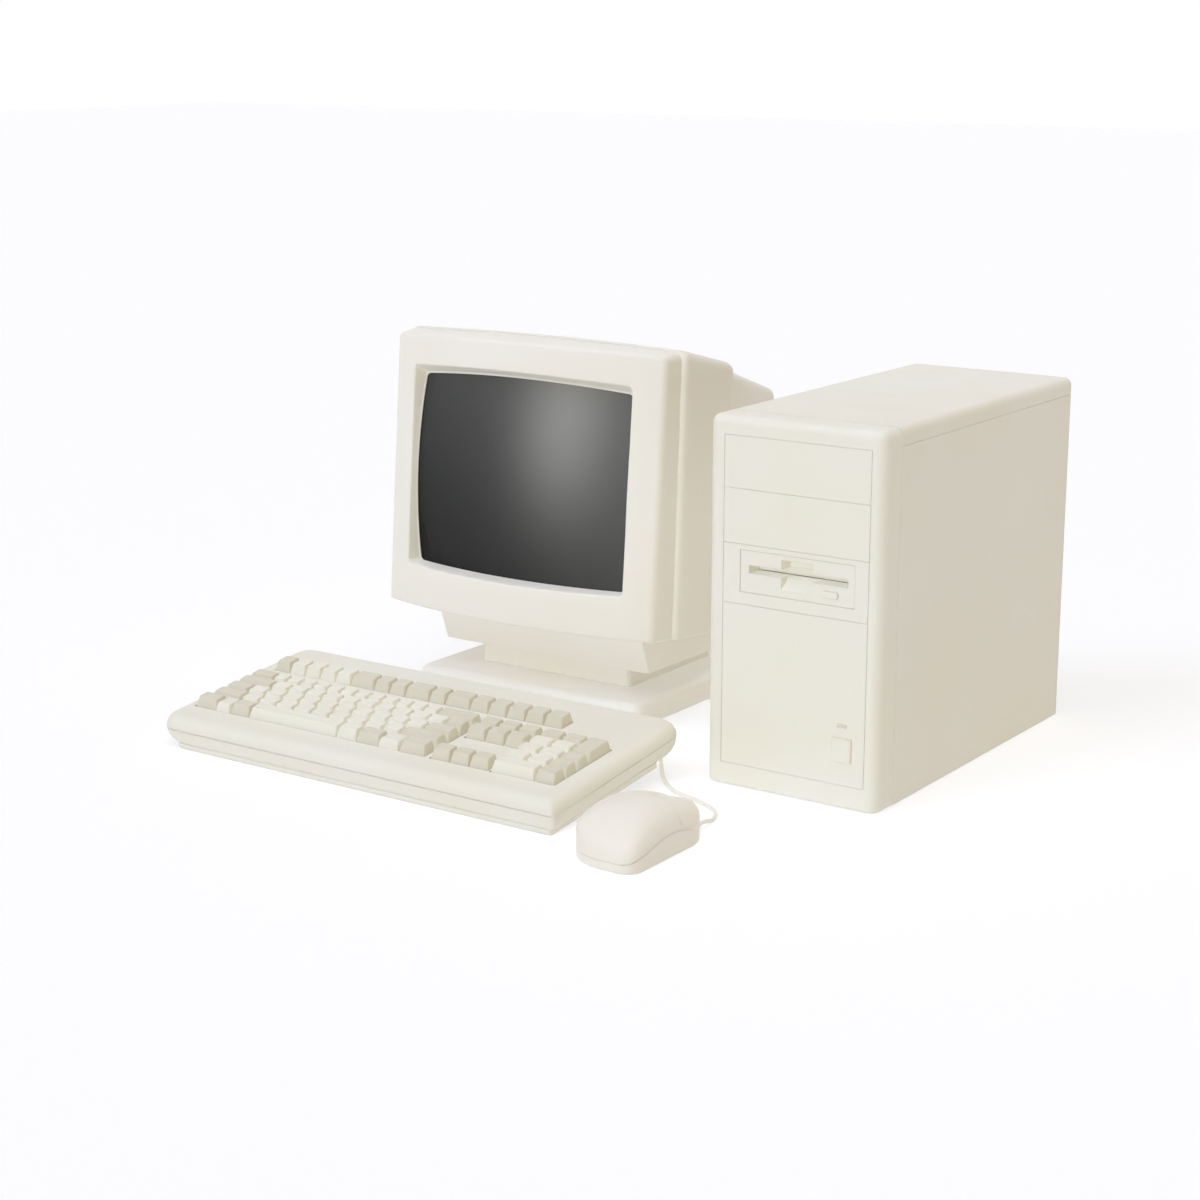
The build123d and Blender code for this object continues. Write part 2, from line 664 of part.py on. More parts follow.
def glass_panel(grow, y1):
    """Front part of the picture tube out to its skirt."""
    w, h = glass_half_w + grow, glass_half_h + grow
    outline = Plane.XZ.offset(30) * Pos(0, glass_mid_z) * RectangleRounded(2 * w, 2 * h, 14)
    return extrude(outline, -(30 + y1)) & glass_ball(grow)


def monitor_bezel():
    """Front of the head: bowed face, deep sloping reveal and four tube posts."""
    side = ((-40, 0), (seam_low_y, 0), (seam_high_y, face_h), (-40, face_h))
    form = extrude(face_plan(0), face_h) & prism_x(side, -200, 200)
    form = fillet(near(form, x=face_half_w, y=0) + near(form, x=-face_half_w, y=0), 5)
    rims = [e for e in form.edges() if e.center().Y < -5]
    form = fillet(rims, 2)
    inner = Pos(0, 0, 3) * extrude(face_plan(3), face_h - 6)
    bezel = form - inner
    bezel += (reveal(2.5) & form) & block(-200, 200, -60, 10, 0, face_h)
    bezel -= reveal(0)
    for x in (-148, 148):
        for z in (34, 252):
            post = block(x - 5, x + 5, -13, 20, z - 5, z + 5)
            bezel += post & form
    return bezel - glass_panel(0.4, 60)


def picture_tube():
    """Glass bulb: bulged face, flared funnel and neck, with the corner lugs of its steel band."""
    tube = glass_panel(0, 46)
    mid = glass_mid_z
    wide = Plane.XZ.offset(-46) * Pos(0, mid) * RectangleRounded(2 * glass_half_w, 2 * glass_half_h, 14)
    middle = Plane.XZ.offset(-120) * Pos(0, mid) * RectangleRounded(172, 140, 50)
    tube += loft([wide, middle], ruled=True)
    tube += loft([middle, Plane.XZ.offset(-yoke_y) * Pos(0, mid) * Circle(40)], ruled=True)
    profile = ((0, yoke_y), (40, yoke_y), (tube_neck_r, yoke_y + 34), (tube_neck_r, tube_neck_end), (0, tube_neck_end))
    tube += Pos(0, 0, mid) * revolve(Polygon(*profile, align=None), Axis.Y)
    for x in (-148, 148):
        for z in (34, 252):
            lug = block(min(x, 0.93 * x) - 5, max(x, 0.93 * x) + 5, 20 + seat, 22.5, z - 6, z + 6)
            reach = block(min(0.9 * x, x) - 2, max(0.9 * x, x) + 2, 20 + seat, 22.5, min(z, mid + (z - mid) * 0.86) - 2,
                          max(z, mid + (z - mid) * 0.86) + 2)
            tube += lug + reach
    return tube


def deflection_yoke():
    """Coil former and winding that grip the start of the tube's neck."""
    y, r = yoke_y + 2, 40
    slope = (40 - tube_neck_r) / 34
    profile = ((r - 2 * slope + 0.5, y), (r + 15, y), (r + 10, y + 10), (r - 4, y + 32), (tube_neck_r + 12, y + 38),
               (tube_neck_r + 0.4, y + 38), (tube_neck_r + 0.5, y + 32.2))
    return Pos(0, 0, glass_mid_z) * revolve(Polygon(*profile, align=None), Axis.Y)


def case_form(inset):
    """Main housing of the head as the meeting of a side outline and a plan outline."""
    i = inset
    side = ((seam_low_y + seat + i, i), (seam_high_y + seat + i, face_h + 0.6), (seam_high_y + 1.5 + i, case_top_front - i),
            (case_back_y - i, case_top_back - i), (case_back_y - i, i))
    w0, w1 = case_half_w - i, case_back_half_w - i
    plan = ((-w0, -20), (w0, -20), (w0, 40), (w1, case_back_y - i), (-w1, case_back_y - i), (-w0, 40))
    return prism_x(side, -200, 200) & prism_z(plan, -5, 300)


def monitor_case():
    """Main housing: deep surround with a sloping top and a vented back wall."""
    form = case_form(0)
    sides = [e for e in form.edges() if abs(abs(e.center().X) - case_half_w) < 0.5 and e.center().Y < 34
             and abs(e.center().Z - face_h / 2) < 12]
    form = chamfer(sides, 4.4)
    tops = [e for e in form.edges() if abs(abs(e.center().X) - 170) < 1.5 and 60 < e.center().Y < 90
            and e.center().Z > 200]
    form = fillet(tops, 6)
    body = form - case_form(3)
    body -= block(-face_half_w + 3, face_half_w - 3, 0, 45, 3, face_h - 3)
    body -= block(-cone_half_w + 6, cone_half_w - 6, case_back_y - 5, case_back_y + 5, 6, cone_top - 6)
    for i in range(2):
        for side in (-1, 1):
            x = side * (cone_half_w + 8 + 7 * i)
            body -= block(x - 1.6, x + 1.6, case_back_y - 5, case_back_y + 5, 60, 215)
    return body


def cone_form(inset):
    """Rear cover over the tube as the meeting of a side outline and a plan outline."""
    i = inset
    y0, y1 = case_back_y + seat - (1 if i else 0), cone_back_y - i
    side = ((y0, 0.3 + i), (235, 0.3 + i), (y1, cone_back_z0 + i), (y1, cone_back_top - i), (y0, cone_top - i))
    w0, w1 = cone_half_w - i, cone_back_half_w - i
    plan = ((-w0, y0), (w0, y0), (w1, y1), (-w1, y1))
    return prism_x(side, -200, 200) & prism_z(plan, -5, 300)


def rounded_cone(inset):
    """The rear cover with its long upper edges and its back rim softened."""
    form = cone_form(inset)
    tops = [e for e in form.edges() if e.center().Z > 215 and 200 < e.center().Y < 220 and abs(e.center().X) > 90]
    form = fillet(tops, cone_edge_r - inset)
    back = [e for e in form.edges() if abs(e.center().Y - (cone_back_y - inset)) < 0.6]
    return fillet(back, 7 - inset)


def monitor_back():
    """Rear cover: tapering hollow moulding with slots in its back."""
    cover = rounded_cone(0) - rounded_cone(skin)
    for i in range(9):
        x = -56 + 14 * i
        cover -= block(x - 1.8, x + 1.8, cone_back_y - 10, cone_back_y + 5, 120, 195)
    return cover - block(-14, 14, cone_back_y - 10, cone_back_y + 5, 68, 89)


def monitor_board():
    """Main board of the monitor with line transformer, heat sink and capacitors."""
    z = 12
    board = block(-96, 96, 60, 215, z, z + board_t)
    for x, y in ((-88, 70), (80, 70), (-88, 200), (80, 200)):
        board += block(x, x + 8, y, y + 8, 3 + seat, z + 0.1)
    board += block(-94, -58, 160, 192, z, z + 56)
    board += rod("z", -76, 176, z + 50, 14, 22)
    for i in range(6):
        board += block(52 + 7 * i, 54.2 + 7 * i, 155, 200, z + 6, z + 50)
    board += block(50, 92, 175, 178, z, z + 50)
    for x, y, r, h in ((-20, 170, 12, 38), (15, 175, 9, 30), (-40, 90, 6, 14), (30, 95, 7, 14)):
        board += rod("z", x, y, z, r, h)
    return board


def build_monitor():
    """All pieces of the monitor."""
    at = Pos(monitor_at[0], monitor_at[1], 0)
    head = at * head_place()
    keep("monitor_base_plate", at, monitor_base())
    keep("monitor_neck", at, monitor_neck())
    keep("monitor_skirt", at, monitor_skirt())
    keep("monitor_bezel", head, monitor_bezel())
    keep("monitor_housing", head, monitor_case())
    keep("monitor_rear_cover", head, monitor_back())
    keep("picture_tube", head, picture_tube())
    keep("deflection_yoke", head, deflection_yoke())
    keep("monitor_main_board", head, monitor_board())
    keep("monitor_inlet", head, mains_inlet(0, cone_back_y, 78.5, skin))


# ======================= keyboard =======================

def keyboard_place():
    """Placement of the sloping keyboard: its plinth's front edge rests on the floor."""
    return Pos(keyboard_at[0], keyboard_at[1], 0) * Rot(board_slope, 0, 0)


def key_x(read):
    """Distance from the left end of the case to a key boundary of the layout list."""
    return read + 508.0 - 0.004 * (read + 480)


def keyboard_form(inset):
    """Soft-edged slab that both halves of the case are cut from."""
    i = inset
    v0, v1 = keys_front_v, keys_front_v + keys_d
    form = rounded_block(i, keys_w - i, v0 + i, v1 - i, case_w0 + i, case_w1 - i, case_corner_r - i)
    rims = near(form, z=case_w0 + i) + near(form, z=case_w1 - i)
    return fillet(rims, case_edge_r - i)


def cell(x0, x1, v0, depth):
    """One keycap: tapered hollow shell with a square stem."""
    g = cap_gap / 2

    def taper_block(inset, w0, w1):
        a0, a1, b0, b1 = x0 + g + inset, x1 - g - inset, v0 + inset, v0 + depth - inset
        s = cap_side_taper
        side = ((b0, w0), (b0 + cap_front_taper, w1 - cap_top_fall), (b1 - cap_back_taper, w1), (b1, w0))
        front = ((a0, w0), (a0 + s, w1), (a1 - s, w1), (a1, w0))
        return prism_x(side, a0 - 1, a1 + 1) & prism_y(front, b0 - 1, b1 + 1)
    cap = taper_block(0, cap_base_w, cap_top_w) - taper_block(cap_wall, cap_base_w - 0.1, cap_top_w - cap_wall)
    cx, cy, h = (x0 + x1) / 2, v0 + depth / 2 + 0.8, stem_w / 2
    return cap + block(cx - h, cx + h, cy - h, cy + h, stem_low_w, cap_top_w - cap_wall + 0.2)


def cells_of(bounds, row, span=1):
    """Rectangles of neighbouring keys in one row from their layout boundaries."""
    v0 = row_first_v + row_pitch * row
    depth = row_depth + row_pitch * (span - 1)
    return [(key_x(a), key_x(b), v0, depth) for a, b in zip(bounds, bounds[1:])]


def spread(start, end, count):
    """Boundaries of equal keys between two layout readings."""
    return [start + (end - start) * i / count for i in range(count + 1)]


def layout():
    """Key rectangles of every group."""
    widths = (1, 1, 1, 1, 1, 1.5, 1, 1, 1.5, 1, 1.5, 1.1, 1.1, 1.1, 1.1, 1.1)
    unit = (-125 - keys_left) / sum(widths)
    edges = [keys_left]
    for width in widths:
        edges.append(edges[-1] + width * unit)
    left, corner = keys_left, corner_key_left
    groups = {}
    groups["function"] = [(key_x(a), key_x(b), function_v, function_depth) for a, b in zip(edges, edges[1:])]
    groups["number_row"] = cells_of([left] + spread(-452, -244, 12) + [-200], 4)
    groups["upper_row"] = cells_of([left] + spread(-438.5, -221.5, 10) + [-200], 3)
    groups["home_row"] = cells_of([left] + spread(-452.5, -232.5, 10) + [-200], 2)
    groups["lower_row"] = cells_of([left] + spread(-444.5, -245.5, 9) + [-200], 1)
    groups["bottom_row"] = (cells_of([corner, -458], 0) + cells_of([-440, -416], 0)
                            + cells_of([-306, -282, -254], 0) + cells_of([-230, -200], 0))
    groups["space_bar"] = cells_of([-416, -306], 0)
    groups["cursor"] = (cells_of(spread(-193.5, -127.5, 3), 0) + cells_of(spread(-195, -128, 3), 4)
                        + cells_of(spread(-195, -128, 3), 3))
    pad = [-125, -101, -77]
    groups["numeric"] = (cells_of([-125, -101, -77], 4) + cells_of(pad, 3) + cells_of(pad, 2) + cells_of(pad, 1)
                         + cells_of([-125, -77], 0) + cells_of([-77, -54], 3, 2) + cells_of([-77, -54], 2)
                         + cells_of([-77, -54], 1) + cells_of([-77, -54], 0))
    return groups


def island(x0, x1):
    """Raised piece of the top case between two keys of the bottom row."""
    a0, a1, v0, v1 = key_x(x0) + 0.5, key_x(x1) - 0.5, row_first_v - 1.2, row_first_v + row_depth - 0.2
    low = Pos((a0 + a1) / 2, (v0 + v1) / 2, case_w1 - 1.2) * Rectangle(a1 - a0, v1 - v0)
    high = Pos((a0 + a1) / 2, (v0 + v1) / 2 + 1, island_top_w) * Rectangle(a1 - a0 - 3, v1 - v0 - 7)
    return loft([low, high])


def keyboard_top():
    """Upper half of the case with the key openings and the raised islands."""
    form = keyboard_form(0) - keyboard_form(skin)
    top = form & block(-5, keys_w + 5, -5, keys_d + 5, case_seam_w + 0.15, case_w1 + 1)
    m = 0.5
    low, high = row_first_v - m, row_first_v + 4 * row_pitch + row_depth + m
    openings = [(keys_left, -200, low, high), (-125, -54, low, high), (corner_key_left, -200, low, row_first_v + row_depth + m),
                (-193.5, -127.5, low, row_first_v + row_depth + m),
                (-195, -128, row_first_v + 3 * row_pitch - m, high),
                (keys_left, -125, function_v - m, function_v + function_depth + m)]
    for x0, x1, v0, v1 in openings:
        top -= block(key_x(x0) - m, key_x(x1) + m, v0, v1, case_w1 - 4, case_w1 + 1)
    for x0, x1 in ((-458, -440), (-254, -230)):
        top += island(x0, x1)
        top += block(key_x(x0) + 0.5, key_x(x1) - 0.5, low - 2, low + 12, case_w1 - 2.5, case_w1 - 1)
    return top


def keyboard_bottom():
    """Lower half of the case with its plinth, leg lugs and plate posts."""
    form = keyboard_form(0) - keyboard_form(skin)
    bottom = form & block(-5, keys_w + 5, -5, keys_d + 5, case_w0 - 1, case_seam_w - 0.15)
    plinth = rounded_block(plinth_x0, plinth_x1, 0, plinth_v1, 0, case_w0 + 0.5, 4)
    plinth -= rounded_block(plinth_x0 + 3, plinth_x1 - 3, 3, plinth_v1 - 3, -1, case_w0 - 0.2, 2)
    inside = rounded_block(12, keys_w - 12, 10, keys_d - 10, case_w0 + 1, case_w0 + 3, 10)
    bottom += plinth - inside
    for x in leg_x:
        half = leg_width / 2 + 0.4
        bottom -= block(x - half, x + half, leg_v - 26, plinth_v1 + 1, -1, case_w0 - 0.05)
        for side in (x - half - 3, x + half):
            lug = block(side, side + 3, leg_v - 4, leg_v + 4, -0.6, case_w0 + 0.2)
            bottom += lug - rod("x", side - 1, leg_v, leg_w, leg_pin_r + pin_fit, 5)
    for x in (20, 236, 452):
        for v in (24, 132, 176):
            post = rod("z", x, v, case_w0 + 1, 4, circuit_w0 - case_w0 - 1 - seat)
            bottom += post
    bottom += rod("z", bush_x, bush_v, case_w0 + 0.5, 4.5, 5)
    return bottom - rod("z", bush_x, bush_v, 0, cord_d / 2 + seat, 12)


def keyboard_leg(x):
    """Folding rear leg on its pin, cut level with the floor when it stands."""
    length = 26
    leg = block(x - leg_width / 2, x + leg_width / 2, leg_v - 1.7, leg_v + 1.7, leg_w - length, leg_w)
    leg = leg - block(x - 9, x + 9, leg_v - 2, leg_v - 0.2, leg_w - 15, leg_w - 4)
    leg += rod("x", x - leg_width / 2, leg_v, leg_w, 2.1, leg_width)
    leg += rod("x", x - leg_width / 2 - 3.2, leg_v, leg_w, leg_pin_r, leg_width + 6.4)
    floor_w = -leg_v * tan(radians(board_slope))
    below = Pos(x, leg_v, floor_w) * Rot(-board_slope, 0, 0) * Pos(0, 0, -20) * Box(60, 60, 40)
    return leg - below


def switch_plate(groups):
    """Plate under the keycaps with a guide hole for every stem."""
    plate = rounded_block(16, keys_w - 16, 16, keys_d - 40, plate_w0, plate_w1, 6)
    holes = []
    for group in groups.values():
        for x0, x1, v0, depth in group:
            cx, cy, h = (x0 + x1) / 2, v0 + depth / 2 + 0.8, stem_w / 2 + slide_gap
            holes.append(block(cx - h, cx + h, cy - h, cy + h, plate_w0 - 1, plate_w1 + 1))
    for x in (22, 236, 450):
        for v in (22, 133.5, 170):
            plate += rod("z", x, v, circuit_w0 + board_t + seat, 3, plate_w0 - circuit_w0 - board_t - seat + 0.2)
    return plate - holes


def keyboard_circuit():
    """Circuit board with its controller and a few small parts."""
    board = rounded_block(14, keys_w - 14, 14, keys_d - 36, circuit_w0, circuit_w0 + board_t, 5)
    board += block(330, 366, 127, 141, circuit_w0 + 0.5, circuit_w0 + 5)
    board += block(300, 312, 128, 138, circuit_w0 + 0.5, circuit_w0 + 4)
    return board + block(390, 400, 129, 137, circuit_w0 + 0.5, circuit_w0 + 4)


def build_keyboard():
    """All pieces of the keyboard."""
    at = keyboard_place()
    groups = layout()
    keep("keyboard_top_case", at, keyboard_top())
    keep("keyboard_bottom_case", at, keyboard_bottom())
    keep("keyboard_switch_plate", at, switch_plate(groups))
    keep("keyboard_circuit_board", at, keyboard_circuit())
    keep("keyboard_leg_left", at, keyboard_leg(leg_x[0]))
    keep("keyboard_leg_right", at, keyboard_leg(leg_x[1]))
    for name, cells in groups.items():
        keep("keys_" + name, at, *[cell(*one) for one in cells])


# ======================= mouse =======================

def mouse_plan(inset):
    """Plan outline: round nose, one wide and one tight corner at the tail."""
    w, l = mouse_half_w - inset, mouse_half_l - inset
    outline = Rectangle(2 * w, 2 * l)
    corners = ((1, 1, mouse_nose_r), (-1, 1, mouse_nose_r), (-1, -1, mouse_tail_left_r), (1, -1, mouse_tail_right_r))
    for x, y, r in corners:
        corner = [v for v in outline.vertices() if abs(v.X - x * w) < 0.01 and abs(v.Y - y * l) < 0.01]
        outline = fillet(corner, r - inset)
    return outline


def nose_y(x):
    """Distance of the nose's outline from the middle of the mouse at a distance x to the side."""
    return mouse_half_l - mouse_nose_r + (mouse_nose_r ** 2 - (abs(x) - mouse_half_w + mouse_nose_r) ** 2) ** 0.5


# distance from the middle, then heights of the crown, of the palm's flanks and of its shoulders
mouse_stations = ((-72, 10, 9, 8), (-58, 27, 25, 21), (-42, 38, 35.4, 27.5), (-26, 44, 40.9, 31.8), (-8, 46, 42.9, 34),
                  (12, 45, 42, 32.5), (34, 39, 36.8, 27.5), (56, 31, 29.5, 23), (72, 25, 24, 19))


def mouse_form(inset):
    """Body of the mouse: plan outline under a crowned surface through cross sections."""
    i = inset
    z0 = mouse_base_z + (1.7 if i else 0)
    body = extrude(Pos(0, 0, z0) * mouse_plan(i), 50)
    if not i:
        body = fillet(near(body, z=z0), mouse_foot_r)
    sections = []
    for y, crown, flank, shoulder in mouse_stations:
        half = ((0, crown - i), (22, flank - i), (35, shoulder - i), (48, shoulder - 10 - i))
        arch = Spline(*[(-x, z) for x, z in reversed(half[1:])], *half)
        rest = Polyline((48, shoulder - 10 - i), (48, -10), (-48, -10), (-48, shoulder - 10 - i))
        sections.append(Plane.XZ.offset(-y) * make_face(arch + rest))
    return body & loft(sections)


seam_line = ((-90, 8.5), (-64.5, 8.5), (-52, 13), (-44, 14.5), (-36, 16.5), (-26, 20.2), (-19, 22.2), (-10, 23.7), (-2, 24.2),
             (10, 23.2), (23, 20), (45, 17.5), (110, 15))


def seam_side(lift, above):
    """Everything above or below the seam, which swings toward the nose across the mouse."""
    shift = seam_swing * (mouse_half_w + 60)
    line = [(y + shift, z + lift) for y, z in seam_line]
    far = 60 if above else -10
    outline = Polygon(*line, (line[-1][0], far), (line[0][0], far), align=None)
    return extrude(Plane.YZ.offset(-60) * outline, 130, dir=(1, -seam_swing, 0))


def mouse_shell():
    """Hollow skin of the whole mouse before it is split."""
    return mouse_form(0) - mouse_form(mouse_wall)


def mouse_top(shell):
    """Palm shell with the rib between the buttons."""
    upper = shell & seam_side(0.3, True)
    palm = upper & block(-60, 60, -80, button_y, 0, 60)
    rib = upper & block(-button_rib, button_rib, button_y - 1, 80, 0, 60)
    rib &= mouse_form(0.6)
    posts = [rod("z", x, -42, mouse_base_z + 5.2, 3, 40) & mouse_form(0.6) for x in (-20, 20)]
    return palm + rib + posts


def mouse_button(shell, side):
    """One button plate with the finger that reaches the switch."""
    x0, x1 = (button_rib + 0.4, 60) if side > 0 else (-60, -button_rib - 0.4)
    plate = (shell & seam_side(button_drop, True)) & block(x0, x1, button_y + 0.35, 80, 0, 60)
    finger = block(side * 20 - 2, side * 20 + 2, 38, 42, mouse_base_z + 14.6, 40)
    return plate + (finger & mouse_form(0.5))


def mouse_base(shell):
    """Lower shell with the floor, the ring opening and the post sockets."""
    base = shell & seam_side(0, False)
    base -= rod("z", 0, ball_y, -1, ring_r + 0.3, 6)
    base += rod("z", 0, ball_y, mouse_base_z + 0.6, ring_r + 1.8, 3) - rod("z", 0, ball_y, 0, ring_r + 0.3, 8)
    for place in roller_places():
        for x in (-12.2, 17.0):
            post = block(x, x + 1.8, -1.6, 1.6, mouse_base_z + 1.4 - ball_r - 2, 2.2)
            base += place * (post - rod("x", x - 1, 0, 0, 1.2 + pin_fit, 4))
    for x in (-20, 20):
        base += rod("z", x, -42, mouse_base_z + 1, 5, 3.8)
        base += rod("z", 1.4 * x, 14, mouse_base_z + 1, 2.5, 2.9) + rod("z", x, 44, mouse_base_z + 1, 2.5, 2.9)
    return base - rod("y", cord_x, nose_y(cord_x) - 10, cord_z, 3.6, 20)


def ball_ring():
    """Turning ring that keeps the ball in."""
    ring = rod("z", 0, ball_y, mouse_base_z, ring_r, 2.2)
    return ring - rod("z", 0, ball_y, 0, 8.4, 5)


def roller(place):
    """Encoder shaft with its slotted wheel, lying beside the ball."""
    shaft = rod("x", -12, 0, 0, 1.2, 31.5) + rod("x", -5, 0, 0, roller_r, 10)
    wheel = rod("x", 13.8, 0, 0, 7, 1.2)
    for i in range(8):
        wheel -= Rot(45 * i, 0, 0) * block(13, 16, -0.6, 0.6, 3.5, 8)
    return place * (shaft + wheel)


def roller_places():
    """Where the two encoder shafts lie: one beside the ball, one in front of it."""
    reach = ball_r + roller_r + 0.35
    z = ball_r + 2
    return Pos(-reach, ball_y, z) * Rot(0, 0, -90), Pos(0, ball_y + reach, z)


def mouse_board():
    """Circuit board with two button switches and the roller yokes."""
    z = mouse_base_z + 3.9 + seat
    inner = extrude(Pos(0, 0, z - 1) * mouse_plan(mouse_wall + 0.6), 20)
    board = (block(-34, 34, 8, 54, z, z + board_t) & inner) - block(cord_x - 7, 36, 46.5, 60, z - 1, z + 3)
    for x in (-20, 20):
        board += block(x - 6.5, x + 6.5, 33, 45, z + 0.5, z + 9.5)
    return board + block(-12, 12, 14, 24, z + 0.5, z + 4)


def strain_relief():
    """Ribbed tapering sleeve where the cord leaves the nose."""
    y0 = nose_y(cord_x) - 8
    body = rod("y", cord_x, y0, cord_z, 3.4, 9)
    body += rod("y", cord_x, y0 - 1, cord_z, 4.3, 1.6)
    taper = Pos(cord_x, y0 + 9, cord_z) * Rot(-90, 0, 0) * Cone(3.4, 2.7, 6, align=(Align.CENTER, Align.CENTER, Align.MIN))
    return body + taper - rod("y", cord_x, y0 - 2, cord_z, cord_d / 2 + 0.1, 30)


def build_mouse():
    """All pieces of the mouse but its cord."""
    at = Pos(mouse_at[0], mouse_at[1], 0)
    shell = mouse_shell()
    keep("mouse_top_shell", at, mouse_top(shell))
    keep("mouse_button_left", at, mouse_button(shell, -1))
    keep("mouse_button_right", at, mouse_button(shell, 1))
    keep("mouse_base_shell", at, mouse_base(shell))
    keep("mouse_ball", at, Pos(0, ball_y, ball_r) * Sphere(ball_r))
    keep("mouse_ball_ring", at, ball_ring())
    side, front = roller_places()
    keep("mouse_roller_side", at, roller(side))
    keep("mouse_roller_front", at, roller(front))
    keep("mouse_circuit_board", at, mouse_board())
    keep("mouse_strain_relief", at, strain_relief())


# ======================= cord =======================

def cord_points():
    """Corners of the cord's route from the mouse along the floor and up into the keyboard."""
    x0, y0 = mouse_at[0] + cord_x, mouse_at[1] + nose_y(cord_x)
    slope = radians(board_slope)
    x9 = keyboard_at[0] + bush_x
    y9 = keyboard_at[1] + bush_v * cos(slope) - case_w0 * sin(slope)
    z9 = bush_v * sin(slope) + case_w0 * cos(slope)
    low = cord_d / 2 + 0.1
    return [(x0, y0 - 7, cord_z), (x0, y0 + 14, cord_z), (x0 - 1, y0 + 30, low), (x0 - 12, y0 + 54, low),
            (x0 - 41, y0 + 69, low), (x0 - 71, y0 + 76.5, low), (x9 + 18, y9 - 16.6, low),
            (x9, y9 + 20 * sin(slope), low + 2.4), (x9, y9 - 5 * sin(slope), z9 + 5)]


def corner_radii(points):
    """Bend radius at each inner corner from the shorter of its two runs."""
    radii = []
    for a, b, c in zip(points, points[1:], points[2:]):
        into = Vector(*b) - Vector(*a)
        out = Vector(*c) - Vector(*b)
        turn = radians(into.get_angle(out))
        radii.append(0.45 * min(into.length, out.length) / tan(turn / 2))
    return radii


def mouse_cord():
    """Round cord along straight runs joined by tangent bends."""
    points = cord_points()
    radii = corner_radii(points)
    path = FilletPolyline(*points, radius=radii)
    start = Plane(origin=points[0], z_dir=Vector(*points[1]) - Vector(*points[0]))
    print("cord bends", [round(r, 1) for r in radii], "length", round(path.length, 1))
    tube = sweep(start * Circle(cord_d / 2), path=path)
    print("cord volume", round(tube.volume), "of", round(pi * cord_d ** 2 / 4 * path.length))
    return tube


# ======================= set =======================

def centred():
    """Offset that puts the middle of the set's footprint at the origin."""
    boxes = [solid.bounding_box() for solids in pieces.values() for solid in solids]
    x = (min(b.min.X for b in boxes) + max(b.max.X for b in boxes)) / 2
    y = (min(b.min.Y for b in boxes) + max(b.max.Y for b in boxes)) / 2
    z = min(b.min.Z for b in boxes)
    return Vector(-x, -y, -z)


os.makedirs("parts", exist_ok=True)
build_tower()
build_monitor()
build_keyboard()
build_mouse()
shift = centred()
keep("mouse_cord", Pos(0, 0, 0), mouse_cord())
print("cord route", [tuple(round(v, 2) for v in Vector(*p) + shift) for p in cord_points()])
print("shift", round(shift.X, 3), round(shift.Y, 3), round(shift.Z, 3))
for name, solids in pieces.items():
    moved = [Pos(shift) * solid for solid in solids]
    export_step(Compound(children=moved) if len(moved) > 1 else moved[0], "parts/" + name + ".step")
print("pieces", len(pieces))
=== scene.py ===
# %% [markdown]
# # A vintage home computer set
#
# Four moulded units stand on a pale floor: a picture-tube monitor on its swivel stand, a mini-tower,
# a full keyboard and a two-button mouse on a short cord. The hard, measured shapes come from the CAD
# model, which is loaded as a fixed frame. This lesson adds what a CAD model lacks: dished keycaps, a
# rounded palm shell, a glass screen, grain, tone and wear in the plastic, a floor and soft light.

# %% Loading the frame
from math import cos, pi, radians, sin

import bmesh
import bpy
import numpy as np
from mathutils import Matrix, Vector


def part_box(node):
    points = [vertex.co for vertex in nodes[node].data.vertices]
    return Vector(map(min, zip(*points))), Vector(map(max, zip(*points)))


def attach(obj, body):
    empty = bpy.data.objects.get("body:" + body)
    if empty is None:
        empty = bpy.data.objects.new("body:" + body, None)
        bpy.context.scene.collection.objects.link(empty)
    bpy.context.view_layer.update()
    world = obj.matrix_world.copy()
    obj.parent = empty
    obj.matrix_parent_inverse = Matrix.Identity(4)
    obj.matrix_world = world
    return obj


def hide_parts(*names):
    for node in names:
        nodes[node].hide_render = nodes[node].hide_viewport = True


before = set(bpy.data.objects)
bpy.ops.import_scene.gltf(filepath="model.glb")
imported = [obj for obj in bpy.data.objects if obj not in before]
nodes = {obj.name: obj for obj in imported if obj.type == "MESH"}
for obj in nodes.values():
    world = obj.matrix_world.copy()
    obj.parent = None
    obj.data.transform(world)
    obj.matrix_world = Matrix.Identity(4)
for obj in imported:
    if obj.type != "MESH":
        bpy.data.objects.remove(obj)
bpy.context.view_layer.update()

# %% [markdown]
# ## Where the viewer stands
#
# The camera stands low, to the right of the tower, and looks across the set. It could be placed by
# dragging it about, but two angles and a point are easier to repeat: a camera looks along its own
# -Z axis, so it is tipped up from straight down and then turned about the vertical.

# %% Camera
azimuth, elevation = radians(34.84), radians(13.88)
camera = bpy.data.objects.new("camera", bpy.data.cameras.new("camera"))
bpy.context.scene.collection.objects.link(camera)
camera.location = (1.2744, -1.84544, 0.6877)
camera.rotation_euler = (radians(90) - elevation, 0, azimuth)
camera.data.lens, camera.data.sensor_width = 71.43, 36
camera.data.clip_start, camera.data.clip_end = 0.05, 50
bpy.context.scene.camera = camera
print("camera", tuple(camera.location))

# %% [markdown]
# ## The mouse cord
#
# A thin limp cord leaves the nose of the mouse, turns along the floor and climbs into the underside
# of the keyboard. A mesh tube would need its own bends worked out. A NURBS curve takes a few guide
# points and runs smoothly between them, so the cord hangs together as one line. Its thickness is
# each point's own radius times the bevel depth, so a depth of one lets the radius say it in metres.

# %% Cord
ROUTE = ((230.6, -208.48, 7.0), (230.6, -187.48, 7.0), (229.6, -171.48, 2.1), (218.6, -147.48, 2.1),
         (189.6, -132.48, 2.1), (159.6, -124.98, 2.1), (139.4, -108.66, 2.1), (121.4, -89.91, 4.5),
         (121.4, -92.6, 30.19))
route = np.array(ROUTE) / 1000

